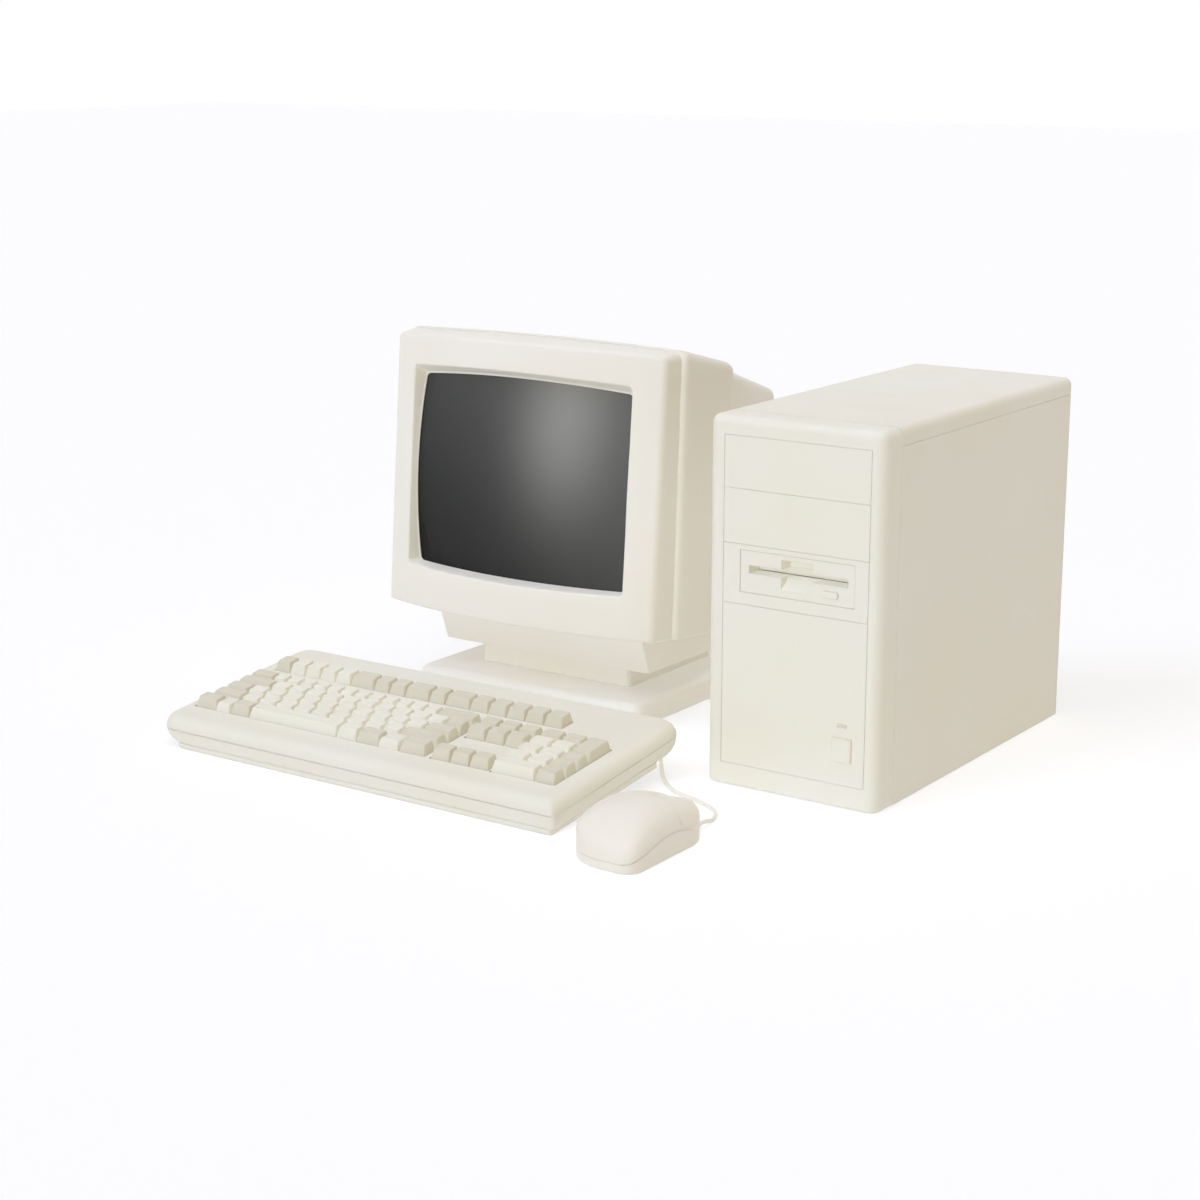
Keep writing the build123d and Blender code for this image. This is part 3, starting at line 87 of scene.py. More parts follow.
line = bpy.data.curves.new("cord_line", "CURVE")
line.dimensions = "3D"
spline = line.splines.new("NURBS")
spline.points.add(len(route) - 1)
spline.points.foreach_set("co", np.c_[route, np.ones(len(route))].ravel())
spline.order_u = 3
spline.use_endpoint_u = True
spline.points.foreach_set("radius", np.full(len(route), 0.002))
line.resolution_u = 16
line.bevel_depth = 1.0
line.bevel_resolution = 5
line.use_fill_caps = True
cord = bpy.data.objects.new("mouse_lead", line)
bpy.context.scene.collection.objects.link(cord)
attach(cord, "standing_units")
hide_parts("mouse_cord")
print("cord runs through", len(route), "points")

# %% [markdown]
# ## Moulded plastic
#
# Old case plastic is never one flat colour. It drifts in tone over a hand's width, it carries the
# fine spark texture of the mould, it is a little glossier where it has been touched, and its edges
# are rubbed pale. An image could paint this, but noise worked out from the object's own position
# needs no file and stays put when a part moves. The edge mask compares the true surface direction
# with a rounded one: where they differ, there is an edge.

# %% Shader helpers
def linear(rgb):
    """A colour from 0 to 255 as the renderer wants it: each channel c goes to ((c + 0.055) / 1.055) ^ 2.4."""
    c = np.array(rgb) / 255
    return (*np.where(c < 0.04045, c / 12.92, ((c + 0.055) / 1.055) ** 2.4).tolist(), 1.0)


def add(tree, kind, inputs=(), **settings):
    """One shader node. The settings are its own; the inputs are numbers or other nodes' sockets."""
    node = tree.nodes.new("ShaderNode" + kind)
    for key, value in settings.items():
        setattr(node, key, value)
    for key, value in dict(inputs).items():
        if isinstance(value, bpy.types.NodeSocket):
            tree.links.new(value, node.inputs[key])
        else:
            node.inputs[key].default_value = value
    return node


def noise(tree, place, scale, detail=2.0):
    """Cloudy noise from 0 to 1 at so many waves a metre."""
    return add(tree, "TexNoise", {"Vector": place, "Scale": scale, "Detail": detail}).outputs["Fac"]


def span(tree, value, a, b, low, high):
    """value from a..b carried over to low..high, and held at the ends."""
    return add(tree, "MapRange", {0: value, 1: a, 2: b, 3: low, 4: high}).outputs[0]


def blended(tree, share, first, second):
    """first goes over to second as share goes from 0 to 1."""
    return add(tree, "Mix", {0: share, 6: first, 7: second}, data_type="RGBA").outputs[2]


def edges_of(tree, reach):
    """1 along edges and 0 on flat ground: the rounded normal against the true one. Gives both."""
    round_normal = add(tree, "Bevel", {"Radius": reach}, samples=4).outputs[0]
    true_normal = add(tree, "NewGeometry").outputs["Normal"]
    match = add(tree, "VectorMath", {0: round_normal, 1: true_normal}, operation="DOT_PRODUCT")
    return span(tree, match.outputs["Value"], 0.97, 0.8, 0.0, 1.0), round_normal


# %% The plastic
def moulded(name, rgb, roughness=0.5, grain=0.5, wear=0.5, drift=0.03, specular=0.4):
    """Case plastic: slow drift of tone, spark-eroded grain, uneven gloss and rubbed edges."""
    material = bpy.data.materials.new(name)
    material.use_nodes = True
    tree = material.node_tree
    shader = tree.nodes["Principled BSDF"]
    place = add(tree, "TexCoord").outputs["Object"]
    base = np.array(linear(rgb))
    yellowed = tuple(base * [1 - 0.4 * drift, 1 - 0.9 * drift, 1 - 2.6 * drift, 1])
    rubbed = tuple(np.minimum(base * [1.05, 1.05, 1.06, 1], 1))
    broad = span(tree, noise(tree, place, 7.0, 3.0), 0.35, 0.7, 0.0, 1.0)
    specks = span(tree, noise(tree, place, 420.0, 2.0), 0.3, 0.7, 0.0, 0.35)
    tone = blended(tree, broad, tuple(base), yellowed)
    tone = blended(tree, specks, tone, yellowed)

    edge, round_normal = edges_of(tree, 0.0012)
    patchy = add(tree, "Math", {0: edge, 1: span(tree, noise(tree, place, 90.0), 0.3, 0.6, 0.2, wear)},
                 operation="MULTIPLY").outputs[0]
    tree.links.new(blended(tree, patchy, tone, rubbed), shader.inputs["Base Color"])

    gloss = span(tree, noise(tree, place, 22.0, 4.0), 0.3, 0.7, roughness - 0.07, roughness + 0.07)
    tree.links.new(gloss, shader.inputs["Roughness"])
    sparks = noise(tree, place, 1500.0, 2.0)
    bump = add(tree, "Bump", {"Strength": grain, "Distance": 0.00004, "Height": sparks,
                              "Normal": round_normal})
    tree.links.new(bump.outputs[0], shader.inputs["Normal"])
    shader.inputs["Specular IOR Level"].default_value = specular
    return material


FINISHES = {
    "case_plastic": moulded("case_cream", (231, 229, 218)),
    "cover_paint": moulded("cover_cream", (230, 227, 217), roughness=0.48, grain=0.7),
    "monitor_plastic": moulded("monitor_cream", (235, 232, 224)),
    "keycap_plastic": moulded("keycap_light", (229, 227, 215), roughness=0.55),
    "keyboard_plastic": moulded("keyboard_cream", (226, 223, 212)),
    "mouse_plastic": moulded("mouse_cream", (232, 228, 219), roughness=0.42, grain=0.3),
    "cord_sheath": moulded("cord_cream", (236, 232, 224), roughness=0.45),
}
print("finishes", sorted(FINISHES))

# %% [markdown]
# ## Parts behind the covers
#
# The vents and slots let a viewer see a little of the works: zinc-plated steel, green laminate,
# black mouldings, copper wire. They get simple but honest finishes, because the covers hide them.
# The picture tube stays bare until its own step.

# %% Metal, laminate and rubber
def works(name, rgb, second, metallic=0.0, roughness=0.4, scale=60.0, depth=0.00005):
    """A finish of two tones mixed by noise, with the same noise at work in its gloss and its height."""
    material = bpy.data.materials.new(name)
    material.use_nodes = True
    tree = material.node_tree
    shader = tree.nodes["Principled BSDF"]
    place = add(tree, "TexCoord").outputs["Object"]
    clouds = noise(tree, place, scale, 4.0)
    tone = blended(tree, span(tree, clouds, 0.35, 0.65, 0, 1), linear(rgb), linear(second))
    worn = blended(tree, edges_of(tree, 0.001)[0], tone, tuple(np.minimum(np.array(linear(second)) * 1.3, 1)))
    tree.links.new(worn, shader.inputs["Base Color"])
    gloss = span(tree, clouds, 0.3, 0.7, roughness - 0.08, roughness + 0.08)
    tree.links.new(gloss, shader.inputs["Roughness"])
    bump = add(tree, "Bump", {"Strength": 0.5, "Distance": depth, "Height": noise(tree, place, scale * 12)})
    tree.links.new(bump.outputs[0], shader.inputs["Normal"])
    shader.inputs["Metallic"].default_value = metallic
    return material


FINISHES["steel"] = works("zinc_steel", (182, 183, 180), (174, 176, 175), metallic=1.0, roughness=0.40)
FINISHES["dark_plastic"] = works("dark_plastic", (38, 38, 40), (46, 46, 48), roughness=0.5)
FINISHES["circuit"] = works("green_laminate", (40, 92, 60), (52, 106, 72), roughness=0.35, scale=200)
FINISHES["rubber"] = works("dark_rubber", (58, 57, 56), (50, 49, 48), roughness=0.75)
FINISHES["copper"] = works("copper_wire", (176, 98, 60), (152, 80, 48), metallic=1.0, roughness=0.35,
                           scale=150)
FINISHES["lens_plastic"] = works("lamp_lens", (205, 200, 182), (212, 208, 192), roughness=0.3)

slot_of = {name: o.material_slots[0].material.name.split(".")[0] for name, o in nodes.items()}
painted = [name for name in nodes if slot_of[name] in FINISHES]
for name in painted:
    nodes[name].data.materials[0] = FINISHES[slot_of[name]]
cord.data.materials.append(FINISHES["cord_sheath"])
print("nodes painted", len(painted), "and still bare", sorted(set(nodes) - set(painted)))

# %% [markdown]
# ## Surfaces from numbers
#
# Every new shape in this lesson is a grid of points worked out with numpy: rows of points that run
# across or around the piece. Modelling by hand would be quicker to start, but a formula is easier to
# change and repeats exactly. One helper turns such a grid into a mesh: it joins neighbours with
# four-sided faces and merges points that meet. Where it should be a thin moulding, a Solidify
# modifier then gives it a wall.

# %% Grid to mesh
def grid_mesh(points, loop=False, drop=None, tone=0):
    """Four-sided faces between the neighbours of one or more grids of points (rows by columns).

    Points that meet become one. drop tells from their middles which faces are left out, and tone is
    the material's number."""
    rows, cols = points.shape[-3:-1]
    flat = points.reshape(-1, 3)
    r, c = np.meshgrid(np.arange(rows - 1), np.arange(cols if loop else cols - 1), indexing="ij")
    here, beside = r * cols + c, r * cols + (c + 1) % cols
    quads = np.stack([here, beside, beside + cols, here + cols], -1).reshape(-1, 4)
    quads = (quads + rows * cols * np.arange(len(flat) // (rows * cols))[:, None, None]).reshape(-1, 4)
    if drop is not None:
        quads = quads[~drop(flat[quads].mean(1))]
    mesh = bpy.data.meshes.new("grid")
    mesh.from_pydata(flat, [], quads)
    work = bmesh.new()
    work.from_mesh(mesh)
    bmesh.ops.remove_doubles(work, verts=work.verts, dist=2e-6)
    bmesh.ops.delete(work, geom=[v for v in work.verts if not v.link_faces], context="VERTS")
    for face in work.faces:
        face.material_index = tone
    work.to_mesh(mesh)
    work.free()
    return mesh


def piece(name, meshes, body, materials, stands_for=(), crease=38.0, wall=0.0):
    """One object from several meshes: shaded smooth below the crease angle, painted and set riding.

    A wall, in metres, makes a thin surface a shell of that thickness, on the side away from the normals."""
    work = bmesh.new()
    for mesh in meshes:
        work.from_mesh(mesh)
        bpy.data.meshes.remove(mesh)
    done = bpy.data.meshes.new(name)
    work.to_mesh(done)
    work.free()
    for material in materials:
        done.materials.append(material)
    done.shade_smooth()
    done.set_sharp_from_angle(angle=radians(crease))
    obj = bpy.data.objects.new(name, done)
    bpy.context.scene.collection.objects.link(obj)
    if wall:
        shell = obj.modifiers.new("wall", "SOLIDIFY")
        shell.thickness, shell.offset = wall, -1.0
    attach(obj, body)
    if stands_for:
        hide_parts(*stands_for)
    print(name, len(done.polygons), "faces")
    return obj


def corner_points(node):
    """All vertices of a frame node as an array, in metres."""
    flat = np.empty(3 * len(nodes[node].data.vertices))
    nodes[node].data.vertices.foreach_get("co", flat)
    return flat.reshape(-1, 3)


# %% [markdown]
# ## Board coordinates
#
# The keyboard slopes. It is easier to think about it lying flat, so its pieces are worked out in
# board millimetres: u along the front edge, v up the slope, w square to it. One function carries
# them to their real place, and another carries the frame's own pieces back.

# %% Board coordinates
def tipped(angle):
    """Axes of a unit tipped about X: its depth and height axes mix by the angle's cosine and sine."""
    return np.array(((1, 0, 0), (0, cos(angle), sin(angle)), (0, -sin(angle), cos(angle))))


BOARD_CORNER, BOARD_AXES = np.array((-0.3366, -0.280444, 0.0)), tipped(radians(6.17))


def on_board(u, v, w):
    """Places in metres of board coordinates: the corner plus each coordinate along its own axis."""
    return np.stack(np.broadcast_arrays(u, v, w), -1) / 1000 @ BOARD_AXES + BOARD_CORNER


def to_board(points):
    """Board coordinates of places in metres: the distances from the corner along each axis."""
    return (points - BOARD_CORNER) @ BOARD_AXES.T * 1000


# %% [markdown]
# ## Keycaps
#
# A keycap is a small hollow moulding: its sides lean in, the front most of all, its edges are soft
# and its top is dished for the fingertip. There are over ninety, so each is a stack of rounded
# rectangles: from the middle of the underside down the inner wall, round the rim, up the outside
# and over the edge into the dish. Where each cap stands is read from the frame, by finding the
# separate solids of each row of keys.

# %% Finding the caps
def solids_of(node):
    """Board boxes (u0, u1, v0, v1) of a node's separate solids.

    Corners at the same place get one number, and each triangle passes the lowest number of its
    corners on to the other two until nothing changes: then each solid has one number."""
    mesh = nodes[node].data
    mesh.calc_loop_triangles()
    tri = np.empty(3 * len(mesh.loop_triangles), dtype=np.int32)
    mesh.loop_triangles.foreach_get("vertices", tri)
    board = to_board(corner_points(node))
    spots, number = np.unique(np.round(board * 100).astype(np.int64), axis=0, return_inverse=True)
    tri = number.ravel()[tri].reshape(-1, 3)
    label = np.arange(len(spots))
    while True:
        lowest = label[tri].min(1)
        passed = label.copy()
        np.minimum.at(passed, tri.ravel(), np.repeat(lowest, 3))
        if np.array_equal(passed, label):
            break
        label = passed
    places = spots / 100
    boxes = [places[label == one] for one in np.unique(label)]
    return np.array(sorted((b[:, 0].min(), b[:, 0].max(), b[:, 1].min(), b[:, 1].max()) for b in boxes))


ROWS = ("function", "number_row", "upper_row", "home_row", "lower_row", "bottom_row", "space_bar", "cursor",
        "numeric")
caps = {row: solids_of("keys_" + row) for row in ROWS}
print("caps in each row", {row: len(boxes) for row, boxes in caps.items()})

# %% Cap shape
CAP_BASE, CAP_TOP, CAP_FALL = 29.0, 40.6, 0.9
SIDE_TAPER, FRONT_TAPER, BACK_TAPER = 1.9, 5.0, 1.0
CAP_WALL, CAP_EDGE, CAP_DISH, DISH_REACH = 1.4, 0.8, 0.45, 6.0
TO_MIDDLE = 99.0


def rounded(u0, u1, v0, v1, radius, turn=4):
    """Rounded rectangles: quarter circles of so many points about each corner's centre."""
    quarter = np.arange(4)
    angle = (pi + quarter[:, None] * pi / 2 + np.linspace(0, pi / 2, turn)).ravel()
    right, far = np.repeat([0, 1, 1, 0], turn), np.repeat([0, 0, 1, 1], turn)
    u0, u1, v0, v1 = (np.asarray(x, float)[..., None] for x in (u0, u1, v0, v1))
    reach = np.minimum(radius, np.minimum(u1 - u0, v1 - v0) / 2)
    u = np.where(right, u1 - reach, u0 + reach) + reach * np.cos(angle)
    v = np.where(far, v1 - reach, v0 + reach) + reach * np.sin(angle)
    return u, v


def cap_ring(boxes, height, inset, dip):
    """One ring of every cap: the box drawn in by the taper at that share of the height and by inset,
    with its front edge lower than its back edge by the fall of the top, and lowered by dip."""
    u0, u1, v0, v1 = boxes.T
    short = np.minimum(u1 - u0 - 2 * SIDE_TAPER, v1 - v0 - FRONT_TAPER - BACK_TAPER) / 2
    inset = np.minimum(inset, short)
    u, v = rounded(u0 + SIDE_TAPER * height + inset, u1 - SIDE_TAPER * height - inset,
                   v0 + FRONT_TAPER * height + inset, v1 - BACK_TAPER * height - inset, 0.7 + 0.8 * height)
    back = (v - v0[:, None]) / (v1 - v0)[:, None]
    w = CAP_BASE + (CAP_TOP - CAP_BASE) * height - CAP_FALL * height * (1 - back) - dip
    return on_board(u, v, w)


def cap_rings(boxes):
    """All rings of the caps, from the middle of the underside out and over to the middle of the top."""
    tall = CAP_TOP - CAP_BASE
    ceiling, share = 1 - CAP_WALL / tall, 1 - CAP_EDGE / tall
    path = ((ceiling, TO_MIDDLE), (ceiling, CAP_WALL), (0, CAP_WALL), (0, 0), (0.5, 0))
    rings = [cap_ring(boxes, height, inset, 0) for height, inset in path]
    for turn in np.linspace(0, pi / 2, 5):
        rings.append(cap_ring(boxes, share + (1 - share) * sin(turn), CAP_EDGE * (1 - cos(turn)), 0))
    for inward in (1.2, 2.4, 4.0, TO_MIDDLE):
        sag = CAP_DISH * (1 - (1 - min(inward / DISH_REACH, 1)) ** 2)
        rings.append(cap_ring(boxes, 1, CAP_EDGE + inward, sag))
    return np.stack(rings, 1)


# %% Which caps are grey
def is_grey(row, boxes):
    """True for the keys in the deeper tone: the ends of rows, the cursor keys and the number pad's rim."""
    index = np.arange(len(boxes))
    if row in ("number_row", "upper_row", "home_row", "lower_row"):
        return (index == 0) | (index == len(boxes) - 1)
    if row == "function":
        return (index == 0) | (index > 4)
    if row == "bottom_row":
        return index != 2
    if row == "numeric":
        top_row = boxes[:, 2] > boxes[:, 2].max() - 5
        return top_row | (boxes[:, 0] > boxes[:, 0].max() - 5)
    return np.full(len(boxes), row == "cursor")


FINISHES["keycap_grey"] = moulded("keycap_grey", (212, 208, 191), roughness=0.55, wear=0.3)
for row, boxes in caps.items():
    grey = is_grey(row, boxes)
    tones = np.unique(grey.astype(int)).tolist()
    meshes = [grid_mesh(cap_rings(boxes[grey == tone]), loop=True, tone=tone) for tone in tones]
    piece("caps_" + row, meshes, "keys_" + row,
          [FINISHES["keycap_plastic"], FINISHES["keycap_grey"]], ["keys_" + row], crease=50)

# %% [markdown]
# ## Keyboard case
#
# The case is two trays that meet at a fine seam. Its front corner is nearly square and its other
# corners are round, the upper edges are full and soft, and at the ends the lower tray curves under
# to a plinth. Each tray is a stack of outlines, one above the other, and the deck is a flat net
# whose lines run along the edges of the key openings, so that the faces in the openings can be
# left out.

# %% Outlines with four different corners
def corners_of(u0, u1, v0, v1):
    """Corners of a rectangle: near left, near right, far right, far left."""
    return (u0, v0), (u1, v0), (u1, v1), (u0, v1)


def outline(corners, radii, along, deep, turn=8):
    """Closed loop through four corners (near left, near right, far right, far left) with their radii.

    The sides carry points at the given places along and up the board, held between the corners'
    arcs, so that loops of different size still have their points opposite each other."""
    (l0, n0), (r1, n1), (r2, f2), (l3, f3) = corners
    arc = np.linspace(0, pi / 2, turn)

    def bend(cu, cv, radius, start):
        """Quarter circle about a centre, from a starting angle."""
        return cu + radius * np.cos(start + arc), cv + radius * np.sin(start + arc)

    near_u = np.clip(along, l0 + radii[0], r1 - radii[1])
    right_v = np.clip(deep, n1 + radii[1], f2 - radii[2])
    far_u = np.clip(along[::-1], l3 + radii[3], r2 - radii[2])
    left_v = np.clip(deep[::-1], n0 + radii[0], f3 - radii[3])
    runs = [(near_u, np.interp(near_u, (l0, r1), (n0, n1))),
            bend(r1 - radii[1], n1 + radii[1], radii[1], 1.5 * pi),
            (np.interp(right_v, (n1, f2), (r1, r2)), right_v),
            bend(r2 - radii[2], f2 - radii[2], radii[2], 0),
            (far_u, np.interp(far_u, (l3, r2), (f3, f2))),
            bend(l3 + radii[3], f3 - radii[3], radii[3], 0.5 * pi),
            (np.interp(left_v, (n0, f3), (l0, l3)), left_v),
            bend(l0 + radii[0], n0 + radii[0], radii[0], pi)]
    return np.concatenate([u for u, v in runs]), np.concatenate([v for u, v in runs])


CASE = np.array(((4.0, -0.4), (474.5, -0.4), (471.0, 215.4), (4.0, 215.4)))
CASE_RADII = (20.0, 4.0, 23.0, 20.0)
INWARD = np.array(((1, 1), (-1, 1), (-1, -1), (1, -1)))
DECK_W, SEAM_W, FLOOR_W, EDGE_R = 30.8, 18.5, 5.0, 12.6
SEAM_GAP = 0.3


def case_ring(inset_u, inset_v, w, along, deep, shrink=1.0, seam=0.0):
    """One outline of the case: corners moved in by their insets, radii smaller by that share of them.

    A seam lifts or lowers it by half the gap between the trays, which closes round the near right corner."""
    inset_u, inset_v = np.broadcast_to(inset_u, 4), np.broadcast_to(inset_v, 4)
    corners = CASE + INWARD * np.stack([inset_u, inset_v], 1)
    radii = np.maximum(np.array(CASE_RADII) - shrink * np.maximum(inset_u, inset_v), 3.0)
    u, v = outline(corners, radii, along, deep)
    closed = (u > CASE[1, 0] - 4.0) & (v < 62.0)
    return on_board(u, v, w + np.where(closed, 0, seam))


# %% Upper tray
def opening(rows, boxes_of=lambda boxes: boxes, margin=0.7):
    """Rectangle round the caps of some rows, a little larger than they are."""
    u0, u1, v0, v1 = np.concatenate([boxes_of(caps[row]) for row in rows]).T
    return u0.min() - margin, u1.max() + margin, v0.min() - margin, v1.max() + margin


openings = [opening(("function",)), opening(("numeric",)), opening(("bottom_row", "space_bar")),
            opening(("cursor",), lambda b: b[b[:, 2] < 60]), opening(("cursor",), lambda b: b[b[:, 2] > 60])]
upper = opening(("number_row", "upper_row", "home_row", "lower_row"))
openings.append((upper[0], upper[1], openings[2][2], upper[3]))

DECK_INSET = 16.5
deck_low, deck_high = CASE[0] + DECK_INSET, np.array((471.0, 215.4)) - DECK_INSET


def net_lines(low, high, count, edges):
    """Evenly spaced places between two ends, and the edges that the net's lines have to follow."""
    return np.unique(np.concatenate([np.linspace(low, high, count)[1:-1], *edges]))


along = net_lines(deck_low[0], deck_high[0], 30, [box[:2] for box in openings])
deep = net_lines(deck_low[1], deck_high[1], 14, [box[2:] for box in openings])


def in_openings(middles):
    """True for the places that lie in one of the key openings."""
    u, v, w = to_board(middles).T
    return np.any([(u > a) & (u < b) & (v > c) & (v < d) for a, b, c, d in openings], axis=0)


rings = [case_ring(inset, inset, SEAM_W, along, deep, seam=SEAM_GAP) for inset in (2.6, 0)]
for turn in np.linspace(0.12, pi / 2, 9):
    inset = EDGE_R * (1 - cos(turn))
    rings.append(case_ring(inset, inset, DECK_W - EDGE_R + EDGE_R * sin(turn), along, deep))
SQUARE = (0, 0, 0, 0)
deck = corners_of(deck_low[0], deck_high[0], deck_low[1], deck_high[1])
rings.append(on_board(*outline(deck, SQUARE, along, deep), DECK_W))
deck_u, deck_v = np.meshgrid(np.r_[deck_low[0], along, deck_high[0]], np.r_[deck_low[1], deep, deck_high[1]])
upper_tray = [grid_mesh(np.stack(rings), loop=True),
              grid_mesh(on_board(deck_u, deck_v, DECK_W), drop=in_openings)]

# %% Blocks between keys
BRIDGE_TOP = 38.9
BRIDGE_LEVELS = ((DECK_W - 1, 0), (DECK_W + 4, 0.5), (BRIDGE_TOP - 1, 1.4), (BRIDGE_TOP - 0.3, 1.7),
                 (BRIDGE_TOP, 2.4), (BRIDGE_TOP, TO_MIDDLE))


def bridge(u0, u1, v0, v1):
    """Low block between two keys: rounded rectangles drawn in as they rise, closed over the middle."""
    loops = []
    for w, inset in BRIDGE_LEVELS:
        near = v0 + 2.2 * min(inset, 3)
        side = min(inset, (u1 - u0) / 2)
        ends = (v1 - near) / 2 if inset == TO_MIDDLE else 0
        a, b = rounded(u0 + side, u1 - side, near + ends, v1 - ends, 1.2)
        loops.append(on_board(a, b, w))
    return grid_mesh(np.stack(loops), loop=True)


bottom = caps["bottom_row"]
near, far = bottom[0, 2] - 0.6, bottom[0, 3] + 0.1
for left, right in ((0, 1), (3, 4)):
    upper_tray.append(bridge(bottom[left, 1] + 0.3, bottom[right, 0] - 0.3, near, far))

keyboard_cream = [FINISHES["keyboard_plastic"]]
piece("keyboard_upper_tray", upper_tray, "standing_units", keyboard_cream,
      ["keyboard_top_case"], 50)

# %% Lower tray
# The square root makes each side's sweep an ellipse, which starts upright at the seam.
rings = [case_ring(inset, inset, SEAM_W, along, deep, seam=-SEAM_GAP) for inset in (2.6, 0)]
for down in np.linspace(0.15, 1, 8):
    sweep = 1 - (1 - down ** 2) ** 0.5
    inset_u = np.array((15, 3, 3, 15)) * sweep
    inset_v = np.array((1.6, 1.6, 14, 14)) * sweep
    rings.append(case_ring(inset_u, inset_v, SEAM_W - (SEAM_W - FLOOR_W) * down, along, deep, shrink=0.0))
FLAT = (30.0, 455.0, 8.0, 190.0)
rings.append(on_board(*outline(corners_of(*FLAT), SQUARE, along, deep), FLOOR_W))
floor_u, floor_v = np.meshgrid(np.r_[FLAT[0], np.clip(along, *FLAT[:2]), FLAT[1]],
                               np.r_[FLAT[2], np.clip(deep, *FLAT[2:]), FLAT[3]])
lower_tray = [grid_mesh(np.stack(rings)[:, ::-1], loop=True),
              grid_mesh(on_board(floor_u, floor_v, FLOOR_W)[::-1])]


# %% Plinth and hinge lugs
# The plinth is a hollow band under the tray. A folded foot passes its back wall in a notch between
# two small lugs.
PLINTH = (27.0, 470.0, 0.3, 168.7)
LEG_U, LEG_HALF, LEG_V = np.array((70.0, 402.0)), 15.4, 184.0
BAND = ((6, FLOOR_W + 0.4), (6, 0.3), (5.6, 0.0), (0.5, 0.0), (0.0, 0.5), (0.0, FLOOR_W),
        (0.3, FLOOR_W + 0.4), (6, FLOOR_W + 0.4))


def notched(middles):
    """True for the places of the plinth's back wall where a folded foot passes."""
    u, v, w = to_board(middles).T
    return np.any([(abs(u - at) < LEG_HALF) & (v > 160) for at in LEG_U], axis=0)


notch_u = np.sort(np.r_[np.linspace(40, 460, 12), LEG_U - LEG_HALF, LEG_U + LEG_HALF])
band = []
for inset, w in BAND:
    foot = corners_of(PLINTH[0] + inset, PLINTH[1] - inset, PLINTH[2] + inset, PLINTH[3] - inset)
    u, v = outline(foot, (max(3.6 - inset, 0.2),) * 4, notch_u, np.linspace(20, 150, 5), 5)
    band.append(on_board(u, v, w))
lower_tray.append(grid_mesh(np.stack(band), loop=True, drop=notched))
for at in LEG_U:
    for side in (at - LEG_HALF - 3, at + LEG_HALF):
        lug = [on_board(*rounded(side + i, side + 3 - i, LEG_V - 4 + i, LEG_V + 4 - i, 1.0), w)
               for i, w in ((0, FLOOR_W + 0.3), (0, -0.3), (0.3, -0.6), (1.5, -0.6))]
        lower_tray.append(grid_mesh(np.stack(lug)[:, ::-1], loop=True))
piece("keyboard_lower_tray", lower_tray, "standing_units", keyboard_cream,
      ["keyboard_bottom_case"], 50)

# %% [markdown]
# ## Mouse
#
# The palm shell of a mouse is one crowned surface over an uneven outline: a round nose, one wide and
# one tight corner at the tail. The crown is a table of heights along and across, carried smoothly
# between its stations; near the outline it rolls over into an upright wall. The wall ends at a seam
# that swings up along the side. The shell is made whole and then sliced into palm and two buttons,
# as the real tool is cut.

# %% Outline and crown
MOUSE_AT = np.array((45.2 + 163.4, -185.0 - 74.744))
MOUSE_HALF_W, MOUSE_HALF_L, MOUSE_ROLL = 39.5, 64.5, 6.5
MOUSE_RADII = (46.0, 15.0, 38.5, 38.5)
STATION_Y = np.array((-72, -58, -42, -26, -8, 12, 34, 56, 72.0))
CROWN = np.array((10, 27, 38, 44, 46, 45, 39, 31, 25.0))
FLANK = np.array((9, 25, 35.4, 40.9, 42.9, 42, 36.8, 29.5, 24.0))
SHOULDER = np.array((8, 21, 27.5, 31.8, 34, 32.5, 27.5, 23, 19.0))
SEAM_Y = np.array((-90, -64.5, -52, -44, -36, -26, -19, -10, -2, 10, 23, 45, 110.0))
SEAM_Z = np.array((8.5, 8.5, 13, 14.5, 16.5, 20.2, 22.2, 23.7, 24.2, 23.2, 20, 17.5, 15.0))
SEAM_SWING, BUTTON_Y, RIB_HALF = 0.316, 10.0, 2.0
SEAM_LIFT, SINK_FADE = 0.95, 6.0


def smooth_between(x, xs, ys):
    """Cubic through the stations: each stretch leaves and arrives with the slope of its neighbours."""
    slope = np.gradient(ys, xs)
    i = np.clip(np.searchsorted(xs, x) - 1, 0, len(xs) - 2)
    width = xs[i + 1] - xs[i]
    t = np.clip((x - xs[i]) / width, 0, 1)
    return ((2 * t ** 3 - 3 * t ** 2 + 1) * ys[i] + (t ** 3 - 2 * t ** 2 + t) * width * slope[i]
            + (3 * t ** 2 - 2 * t ** 3) * ys[i + 1] + (t ** 3 - t ** 2) * width * slope[i + 1])


def crown_z(x, y):
    """Height of the crowned surface: a quartic across, fitted to the crown, flank and shoulder heights."""
    crown, flank, shoulder = (smooth_between(y, STATION_Y, h) for h in (CROWN, FLANK, SHOULDER))
    near, far = (22 / 35) ** 2, 1.0
    drop_near, drop_far = crown - flank, crown - shoulder
    fourth = (drop_far * near - drop_near * far) / (far ** 2 * near - near ** 2 * far)
    square = (drop_near - fourth * near ** 2) / near
    s = (x / 35) ** 2
    return crown - square * s - fourth * s ** 2


def seam_z(x, y):
    """Height of the seam, whose line swings toward the nose from the right side to the left."""
    return smooth_between(y - SEAM_SWING * (MOUSE_HALF_W - x), SEAM_Y, SEAM_Z)


